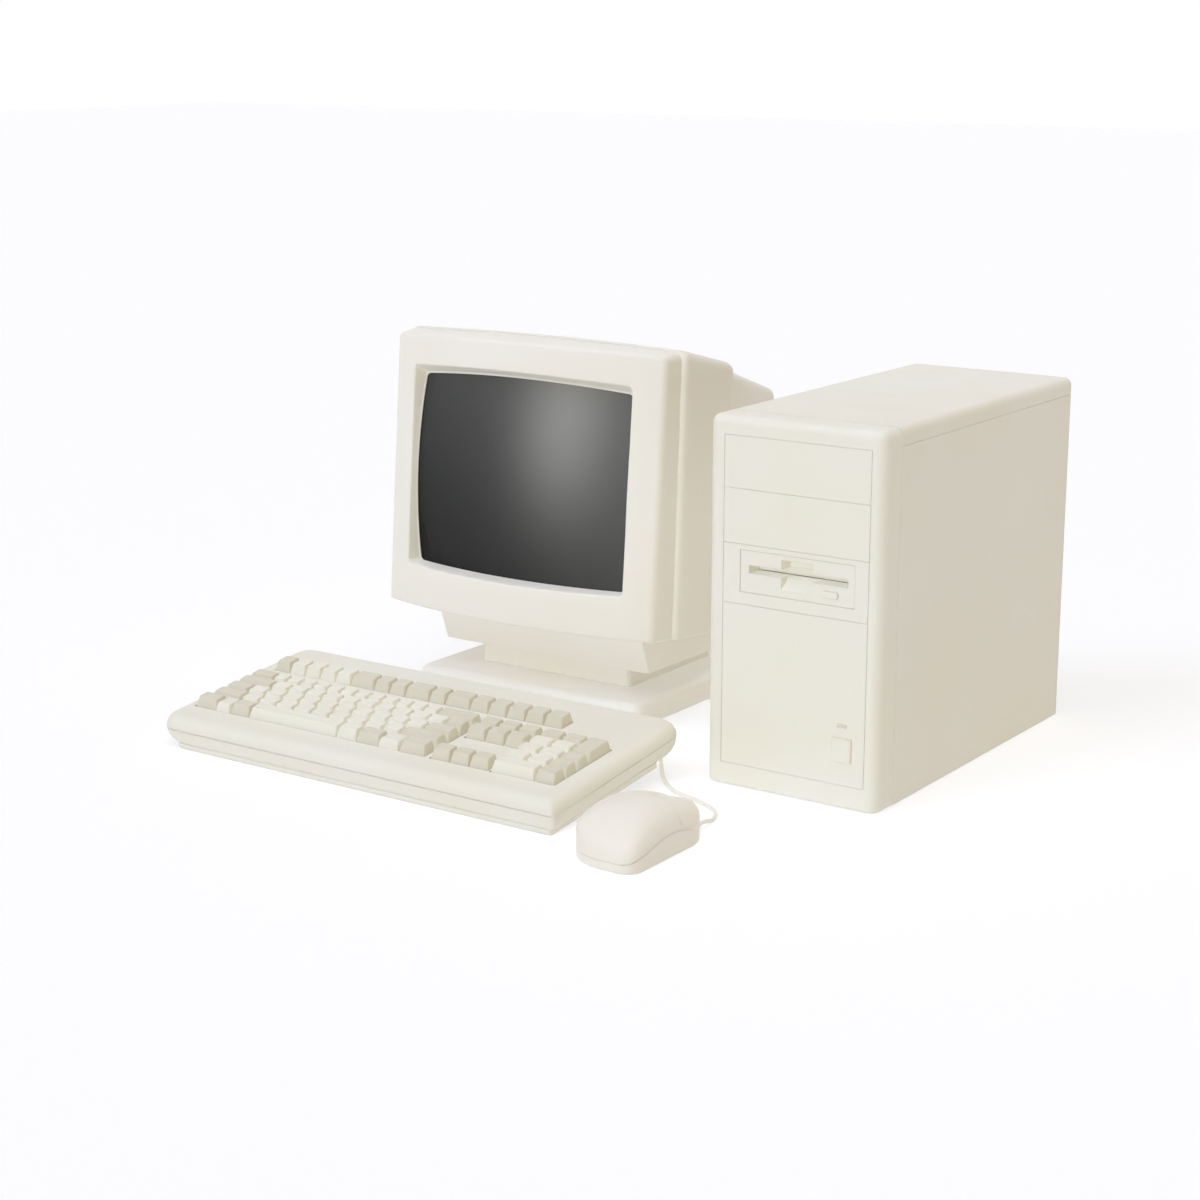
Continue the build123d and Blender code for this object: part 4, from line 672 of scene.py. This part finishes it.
def mouse_outline(count=40):
    """Plan outline: straight sides and four quarter circles, sampled evenly along its length."""
    w, l = MOUSE_HALF_W, MOUSE_HALF_L
    x, y = outline(corners_of(-w, w, -l, l), MOUSE_RADII, np.zeros(1), np.zeros(1), 24)
    loop = np.c_[x, y]
    loop = loop[np.r_[True, np.hypot(*np.diff(loop, axis=0).T) > 1e-6]]
    closed = np.r_[loop, loop[:1]]
    run = np.r_[0, np.cumsum(np.hypot(*np.diff(closed, axis=0).T))]
    even = np.linspace(0, run[-1], 4 * count, endpoint=False)
    return np.interp(even, run, closed[:, 0]), np.interp(even, run, closed[:, 1])


# %% Rings of the shell
rim_x, rim_y = mouse_outline()
HUB = (0.0, -2.0)


def mouse_ring(share):
    """Ring drawn in toward the middle by a share; near the outline it rolls down by a quarter circle."""
    x, y = rim_x + (HUB[0] - rim_x) * share, rim_y + (HUB[1] - rim_y) * share
    gap = np.hypot(x[:, None] - rim_x, y[:, None] - rim_y).min(1)
    roll = MOUSE_ROLL - np.sqrt(np.clip(MOUSE_ROLL ** 2 - np.clip(MOUSE_ROLL - gap, 0, None) ** 2, 0, None))
    return x, y, crown_z(x, y) - roll


def in_place(x, y, z):
    """Mouse millimetres as places in metres."""
    return np.stack([x + MOUSE_AT[0], y + MOUSE_AT[1], z], -1) / 1000


top_z = mouse_ring(0)[2]
start_z = np.minimum(seam_z(rim_x, rim_y) + SEAM_LIFT, top_z - 0.5)
shell_rings = [in_place(rim_x, rim_y, start_z + (top_z - start_z) * s) for s in (0, 0.33, 0.66, 1)]
INWARD_SHARES = (0.004, 0.012, 0.025, 0.045, 0.07, 0.1, 0.14, 0.19, 0.25, 0.32, 0.4, 0.49, 0.59, 0.7,
                 0.82, 0.93, 1.0)
shell_rings += [in_place(*mouse_ring(share)) for share in INWARD_SHARES]
whole = grid_mesh(np.stack(shell_rings), loop=True)
print("mouse shell", len(whole.polygons), "faces before slicing")


# %% Slicing the shell
def sliced(mesh, cuts, sink=None, wall=1.8):
    """Copy of a mesh cut by planes (point, direction kept away from), sunk by a formula and given a wall.

    The sinking fades out toward the lower edge, which stays at the seam."""
    work = bmesh.new()
    work.from_mesh(mesh)
    for point, away in cuts:
        place = in_place(np.array(point[0]), np.array(point[1]), np.array(0.0))
        bmesh.ops.bisect_plane(work, geom=work.verts[:] + work.edges[:] + work.faces[:], dist=1e-7,
                               plane_co=place.tolist(), plane_no=(*away, 0), clear_outer=True)
    part = bpy.data.meshes.new("slice")
    work.to_mesh(part)
    work.free()
    flat = np.empty(3 * len(part.vertices))
    part.vertices.foreach_get("co", flat)
    at = flat.reshape(-1, 3)
    x, y = at[:, 0] * 1000 - MOUSE_AT[0], at[:, 1] * 1000 - MOUSE_AT[1]
    if sink:
        above = at[:, 2] * 1000 - seam_z(x, y) - SEAM_LIFT
        at[:, 2] -= sink(x, y) * np.clip(above / SINK_FADE, 0, 1) / 1000
    part.vertices.foreach_set("co", at.ravel())
    work = bmesh.new()
    work.from_mesh(part)
    bmesh.ops.solidify(work, geom=work.faces[:], thickness=wall / 1000)
    work.to_mesh(part)
    work.free()
    return part


def button_sink(x, y):
    """How far the buttons dip: a soft valley beside the rib and a small step down behind the palm."""
    valley = 4.2 * np.exp(-np.clip(np.abs(x) - RIB_HALF, 0, None) / 4.2)
    step = 1.3 * np.exp(-np.clip(y - BUTTON_Y, 0, None) / 3.0)
    return valley + step


mouse_cream = [FINISHES["mouse_plastic"]]
palm = sliced(whole, [((0, BUTTON_Y), (0, 1))])
rib = sliced(whole, [((0, BUTTON_Y - 1), (0, -1)), ((RIB_HALF, 0), (1, 0)), ((-RIB_HALF, 0), (-1, 0))],
             lambda x, y: 5.2 + 0 * x)
piece("mouse_palm", [palm, rib], "standing_units", mouse_cream, ["mouse_top_shell"])
for side, name, body in ((-1, "left", "left_click"), (1, "right", "right_click")):
    cuts = [((0, BUTTON_Y + 0.8), (0, -1)), ((side * (RIB_HALF + 0.7), 0), (-side, 0))]
    plate = sliced(whole, cuts, button_sink)
    piece("mouse_" + name + "_key", [plate], body, mouse_cream, ["mouse_button_" + name])

# %% [markdown]
# ## Monitor head
#
# The face of the head is bowed like the tube behind it. It runs over a soft edge into the sides and
# the top, and round the screen it falls away to the glass in a sloping reveal with a fine lip. The
# housing behind it starts at a fine seam, swells, and slopes down to its back wall. Both are stacks
# of rounded loops, each standing square to the depth of the head. Rounding a box with a bevel tool
# would give every edge the same softness; with loops, each edge gets its own.

# %% Head coordinates
HEAD_AT, HEAD_AXES = np.array((-0.1176, 0.006116, 0.0945)), tipped(radians(-4.9))
FACE_BALL, FACE_BOW, GLASS_BALL, GLASS_FRONT, GLASS_MID = 482.9, 28.7, 560.0, -18.0, 143.0
SLOT_Z = (60.0, 215.0)
head_along = np.linspace(-146, 146, 37)
head_deep = np.unique(np.r_[np.linspace(22, 262, 29), SLOT_Z])


def on_head(x, y, z):
    """Head millimetres (across, to the back, up) as places in metres on the tilted head."""
    return np.stack(np.broadcast_arrays(x, y, z), -1) / 1000 @ HEAD_AXES + HEAD_AT


def face_y(x):
    """Depth of the bowed face: an arc of a large circle across the front."""
    return FACE_BALL - FACE_BOW - np.sqrt(FACE_BALL ** 2 - x ** 2)


def glass_y(x, z):
    """Depth of the glass: a ball that bulges forward most at the screen's middle."""
    return GLASS_FRONT + GLASS_BALL - np.sqrt(GLASS_BALL ** 2 - x ** 2 - (z - GLASS_MID) ** 2)


def seam_y(z):
    """Depth of the seam between face and housing, which leans forward as it rises."""
    return 33 - 9 * z / 277


def head_loop(half_w, z0, z1, low_r, high_r, crown=3.0):
    """Loop round the head: a rounded rectangle whose top edge sinks toward its ends by the crown."""
    radii = (low_r, low_r, high_r, high_r)
    x, z = outline(corners_of(-half_w, half_w, z0, z1), radii, head_along, head_deep)
    return x, z - crown * (x / 165) ** 2 * np.clip((z - z0) / (z1 - z0), 0, 1) ** 6


def screen_loop(deep, out=0.0):
    """Loop round the screen, from the face's edge (0) to the glass (1), moved outwards by out.

    Its sides bow a little, because both the face and the glass curve away from its middle."""
    x, z = outline(corners_of(-130, 130, -101, 101), (4.5,) * 4, head_along, head_deep - GLASS_MID)
    a, b = x / 130, z / 101
    side = 132.5 - 3.5 * deep - 2.6 * deep * b ** 2
    top = 250.2 - 6.7 * deep - (4.4 + 1.4 * deep) * a ** 2
    low = 41.0 + 2.6 * deep + (2.3 - 0.5 * deep) * a ** 2
    middle = (top + low) / 2
    return a * (side + out), middle + b * ((top - low) / 2 + out)


# %% Face of the monitor
rings = []
for inset, depth in ((2.6, 1.0), (0.0, 1.0), (0.3, 0.6)):
    x, z = head_loop(165.6 - inset, inset, 283.4 - inset - 2 * (1 - depth), 3, 9)
    rings.append(on_head(x, seam_y(z) * depth - 0.3, z))
for turn in np.linspace(0, pi / 2, 7):
    soft = 1 - cos(turn)
    x, z = head_loop(164.4 - 5 * soft, 2.6 * soft, 280.6 - 4.4 * soft, 3, 7)
    rings.append(on_head(x, face_y(x) + 5 * (1 - sin(turn)), z))
outer_x, outer_z = head_loop(156.5, 5.0, 274.0, 3, 6)
edge_x, edge_z = screen_loop(0, 2.2)
for share in (0.0, 0.3, 0.65, 1.0):
    x, z = outer_x + (edge_x - outer_x) * share, outer_z + (edge_z - outer_z) * share
    rings.append(on_head(x, face_y(x), z))
for out, fall in ((1.3, 0.25), (0.5, 0.9), (0.0, 2.0)):
    x, z = screen_loop(0, out)
    rings.append(on_head(x, face_y(x) + fall, z))
for deep, fall in ((0.4, 0.42), (0.74, 0.8), (0.78, 0.84), (0.93, 0.87), (1.0, 0.92), (1.0, 1.0)):
    x, z = screen_loop(deep)
    rings.append(on_head(x, (face_y(x) + 2) * (1 - fall) + (glass_y(x, z) - 0.4) * fall, z))
monitor_cream = [FINISHES["monitor_plastic"]]
piece("monitor_face", [grid_mesh(np.stack(rings), loop=True)], "monitor_head",
      monitor_cream, ["monitor_bezel"], 40, wall=0.0024)

# %% Housing of the monitor
BACK_Y, BACK_HALF_W, BACK_TOP = 117.0, 169.0, 271.0
rings = []
for inset in (2.6, 0.0):
    x, z = head_loop(166.2 - inset, inset, 284.2 - inset, 3, 9)
    rings.append(on_head(x, seam_y(z) + 0.3, z))
for turn in np.linspace(0.3, pi / 2, 5):
    x, z = head_loop(166.2 + 4.8 * sin(turn), 0.0, 284.2 + sin(turn), 3, 10)
    rings.append(on_head(x, seam_y(z) + 0.3 + 7 * (1 - cos(turn)), z))
for back in (0.25, 0.5, 0.75, 0.93):
    x, z = head_loop(171 - 2 * back, 0.0, 285.2 + (BACK_TOP - 285.2) * back, 3, 10)
    rings.append(on_head(x, (seam_y(z) + 7) * (1 - back) + BACK_Y * back, z))
for turn in np.linspace(0.35, pi / 2, 5):
    soft = 5 * (1 - cos(turn))
    x, z = head_loop(BACK_HALF_W - soft, 0.6 * soft, BACK_TOP - soft, 3, 9)
    rings.append(on_head(x, BACK_Y - 5 * (1 - sin(turn)), z))
for half_w in (161.6, 158.4, 154.6, 151.4, 139.0):
    share = (164 - half_w) / 25
    x, z = head_loop(half_w, 3 + 3 * share, 266 - 5 * share, 3, 6)
    rings.append(on_head(x, BACK_Y, z))


def in_slots(middles):
    """True for the places of the upright air slots in the back wall."""
    x, y, z = ((middles - HEAD_AT) @ HEAD_AXES.T * 1000).T
    row = (abs(abs(x) - 153) < 1.6) | (abs(abs(x) - 160) < 1.6)
    return row & (y > BACK_Y - 0.5) & (z > SLOT_Z[0]) & (z < SLOT_Z[1])


piece("monitor_housing_shell", [grid_mesh(np.stack(rings)[:, ::-1], loop=True, drop=in_slots)],
      "monitor_head", monitor_cream, ["monitor_housing"], 40, wall=0.0026)

# %% [markdown]
# ## The screen
#
# The face of a picture tube is a thick grey glass, smooth and bulging, with a fine dark screen
# behind it. What one sees is mostly the room in it: darker toward the corners and a soft tall
# window of light. The glass could be left to mirror a modelled room, but a few lamps in a plain
# white room give it nothing to mirror, so the broad falloff is a painted reflection and the tall
# window a painted highlight in the phosphor's colour, and the gloss of the glass adds the true reflections.

# %% Tube glass
def screen_glass():
    """Grey phosphor behind clear glass, with a painted reflection: its colour rises toward the upper right
    and carries one tall soft painted highlight.
    """
    material = bpy.data.materials.new("screen_glass")
    material.use_nodes = True
    tree = material.node_tree
    shader = tree.nodes["Principled BSDF"]
    face_low, face_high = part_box("monitor_bezel")
    place = add(tree, "TexCoord").outputs["Object"]
    axes = add(tree, "SeparateXYZ", {0: place}).outputs
    across = span(tree, axes[0], face_low[0] + 0.04, face_high[0] - 0.04, 0.0, 1.0)
    upward = span(tree, axes[2], face_low[2] + 0.04, face_high[2] - 0.04, 0.0, 1.0)

    def maths(kind, first, second):
        """One sum, difference, product, quotient or power of two sockets or numbers."""
        return add(tree, "Math", {0: first, 1: second}, operation=kind).outputs[0]

    # A painted highlight: one tall soft window of light painted into the colour near the upper right, where
    # the room would be mirrored.
    side_step = maths("DIVIDE", maths("SUBTRACT", across, 0.73), 0.20)
    up_step = maths("DIVIDE", maths("SUBTRACT", upward, 0.86), 0.42)
    spread = maths("ADD", maths("MULTIPLY", side_step, side_step), maths("MULTIPLY", up_step, up_step))
    glow = maths("POWER", 2.718, maths("MULTIPLY", spread, -1.0))
    # A painted reflection: the room's broad falloff, dark at the lower left and lighter toward the upper
    # right, painted into the phosphor's colour.
    slope = maths("ADD", maths("MULTIPLY", across, 0.55), maths("MULTIPLY", upward, 0.45))
    broad = add(tree, "ValToRGB", {0: slope})
    ramp = broad.color_ramp
    ramp.interpolation = "EASE"
    ramp.elements[0].position, ramp.elements[0].color = 0.0, linear((14, 14, 13))
    ramp.elements[1].position, ramp.elements[1].color = 1.0, linear((90, 90, 88))
    # The painted reflection and the painted highlight mixed into one colour, with the glass's own mottling
    # added on top.
    painted_reflection = blended(tree, maths("MULTIPLY", glow, 0.55), broad.outputs[0], linear((172, 172, 167)))
    mottled = span(tree, noise(tree, place, 2600.0, 1.0), 0.3, 0.7, 0.0, 0.06)
    tree.links.new(blended(tree, mottled, painted_reflection, linear((20, 20, 20))), shader.inputs["Base Color"])
    tree.links.new(span(tree, noise(tree, place, 14.0), 0.3, 0.7, 0.16, 0.22), shader.inputs["Roughness"])
    bump = add(tree, "Bump", {"Strength": 0.05, "Distance": 0.00002, "Height": noise(tree, place, 900.0)})
    tree.links.new(bump.outputs[0], shader.inputs["Normal"])
    shader.inputs["Specular IOR Level"].default_value = 0.12
    return material


FINISHES["tube_glass"] = screen_glass()
nodes["picture_tube"].data.materials[0] = FINISHES["tube_glass"]

# %% [markdown]
# ## Floor and light
#
# The set stands on a white floor in a white room. Two broad lamps cast its soft shadows, one from
# the front left and one from above, and three fills without shadows lift what they leave dark. The
# floor is a large sheet whose own colour lies under white, and a little light of its own, seen only
# by the eye and by mirrors, lifts it to white where no shadow falls.

# %% Floor
def seen(tree, *kinds):
    """1 for rays of the named kinds, such as those that come straight from the eye, and 0 for others."""
    path = add(tree, "LightPath").outputs
    largest = path[kinds[0]]
    for kind in kinds[1:]:
        largest = add(tree, "Math", {0: largest, 1: path[kind]}, operation="MAXIMUM").outputs[0]
    return largest


WHITE, FLOOR_TONE, FLOOR_GLOW, FLOOR_HALF = (1, 1, 1, 1), 0.84, 0.19, 12.0


def floor_material():
    """White sheet that keeps shadows: a matt white plus a glow that only the eye and mirrors see."""
    material = bpy.data.materials.new("studio_floor")
    material.use_nodes = True
    tree = material.node_tree
    tree.nodes.clear()
    matt = add(tree, "BsdfDiffuse", {"Color": (FLOOR_TONE, FLOOR_TONE, FLOOR_TONE, 1)}).outputs[0]
    strength = add(tree, "Math", {0: seen(tree, "Is Camera Ray", "Is Glossy Ray"), 1: FLOOR_GLOW},
                   operation="MULTIPLY").outputs[0]
    glow = add(tree, "Emission", {"Color": WHITE, "Strength": strength}).outputs[0]
    both = add(tree, "AddShader", {0: matt, 1: glow}).outputs[0]
    add(tree, "OutputMaterial", {"Surface": both})
    return material


corners = corners_of(-FLOOR_HALF, FLOOR_HALF, -FLOOR_HALF, FLOOR_HALF)
sheet = bpy.data.meshes.new("studio_floor")
sheet.from_pydata([(x, y, 0) for x, y in corners], [], [(0, 1, 2, 3)])
floor = bpy.data.objects.new("studio_floor", sheet)
bpy.context.scene.collection.objects.link(floor)
floor.data.materials.append(floor_material())

# %% Room and lamps
ROOM_LEVEL, ROOM_COLOUR = 0.265, (1.22, 1.025, 0.754)
world = bpy.data.worlds.new("room")
bpy.context.scene.world = world
world.use_nodes = True
tree = world.node_tree
tree.nodes.clear()
plain = seen(tree, "Is Camera Ray", "Is Glossy Ray", "Is Transmission Ray")
room = add(tree, "Background", {"Color": (*ROOM_COLOUR, 1), "Strength": ROOM_LEVEL}).outputs[0]
white = add(tree, "Background", {"Color": WHITE, "Strength": 1.0}).outputs[0]
add(tree, "OutputWorld", {"Surface": add(tree, "MixShader", {0: plain, 1: room, 2: white}).outputs[0]})


def sun(name, toward, level, colour, spread_deg, shadow):
    """Far lamp. level is what a sheet square to it would show as grey; toward points at the lamp."""
    lamp = bpy.data.objects.new(name, bpy.data.lights.new(name, "SUN"))
    bpy.context.scene.collection.objects.link(lamp)
    lamp.data.energy = level * pi
    lamp.data.angle = radians(spread_deg)
    lamp.data.color = colour
    lamp.data.use_shadow = shadow
    lamp.data.cycles.use_multiple_importance_sampling = shadow
    lamp.rotation_euler = Vector(toward).to_track_quat("Z", "Y").to_euler()


LAMPS = (
    ("key_lamp", (-0.35, -0.62, 0.70), 0.135, (0.70, 0.89, 1.41), 30, True),
    ("overhead_lamp", (0.15, -0.1, 0.98), 0.28, (0.94, 1.0, 1.06), 60, True),
    ("front_fill", (-0.3, -0.9, 0.1), 0.294, (0.94, 0.99, 1.07), 100, False),
    ("side_fill", (0.9, -0.4, 0.1), 0.088, (1.21, 1.08, 0.71), 100, False),
    ("top_fill", (0.0, 0.1, 1.0), 0.212, (0.91, 0.95, 1.14), 100, False),
)
for lamp in LAMPS:
    sun(*lamp)
print("lamps", [lamp[0] for lamp in LAMPS])

bpy.context.scene.view_settings.view_transform = "Standard"
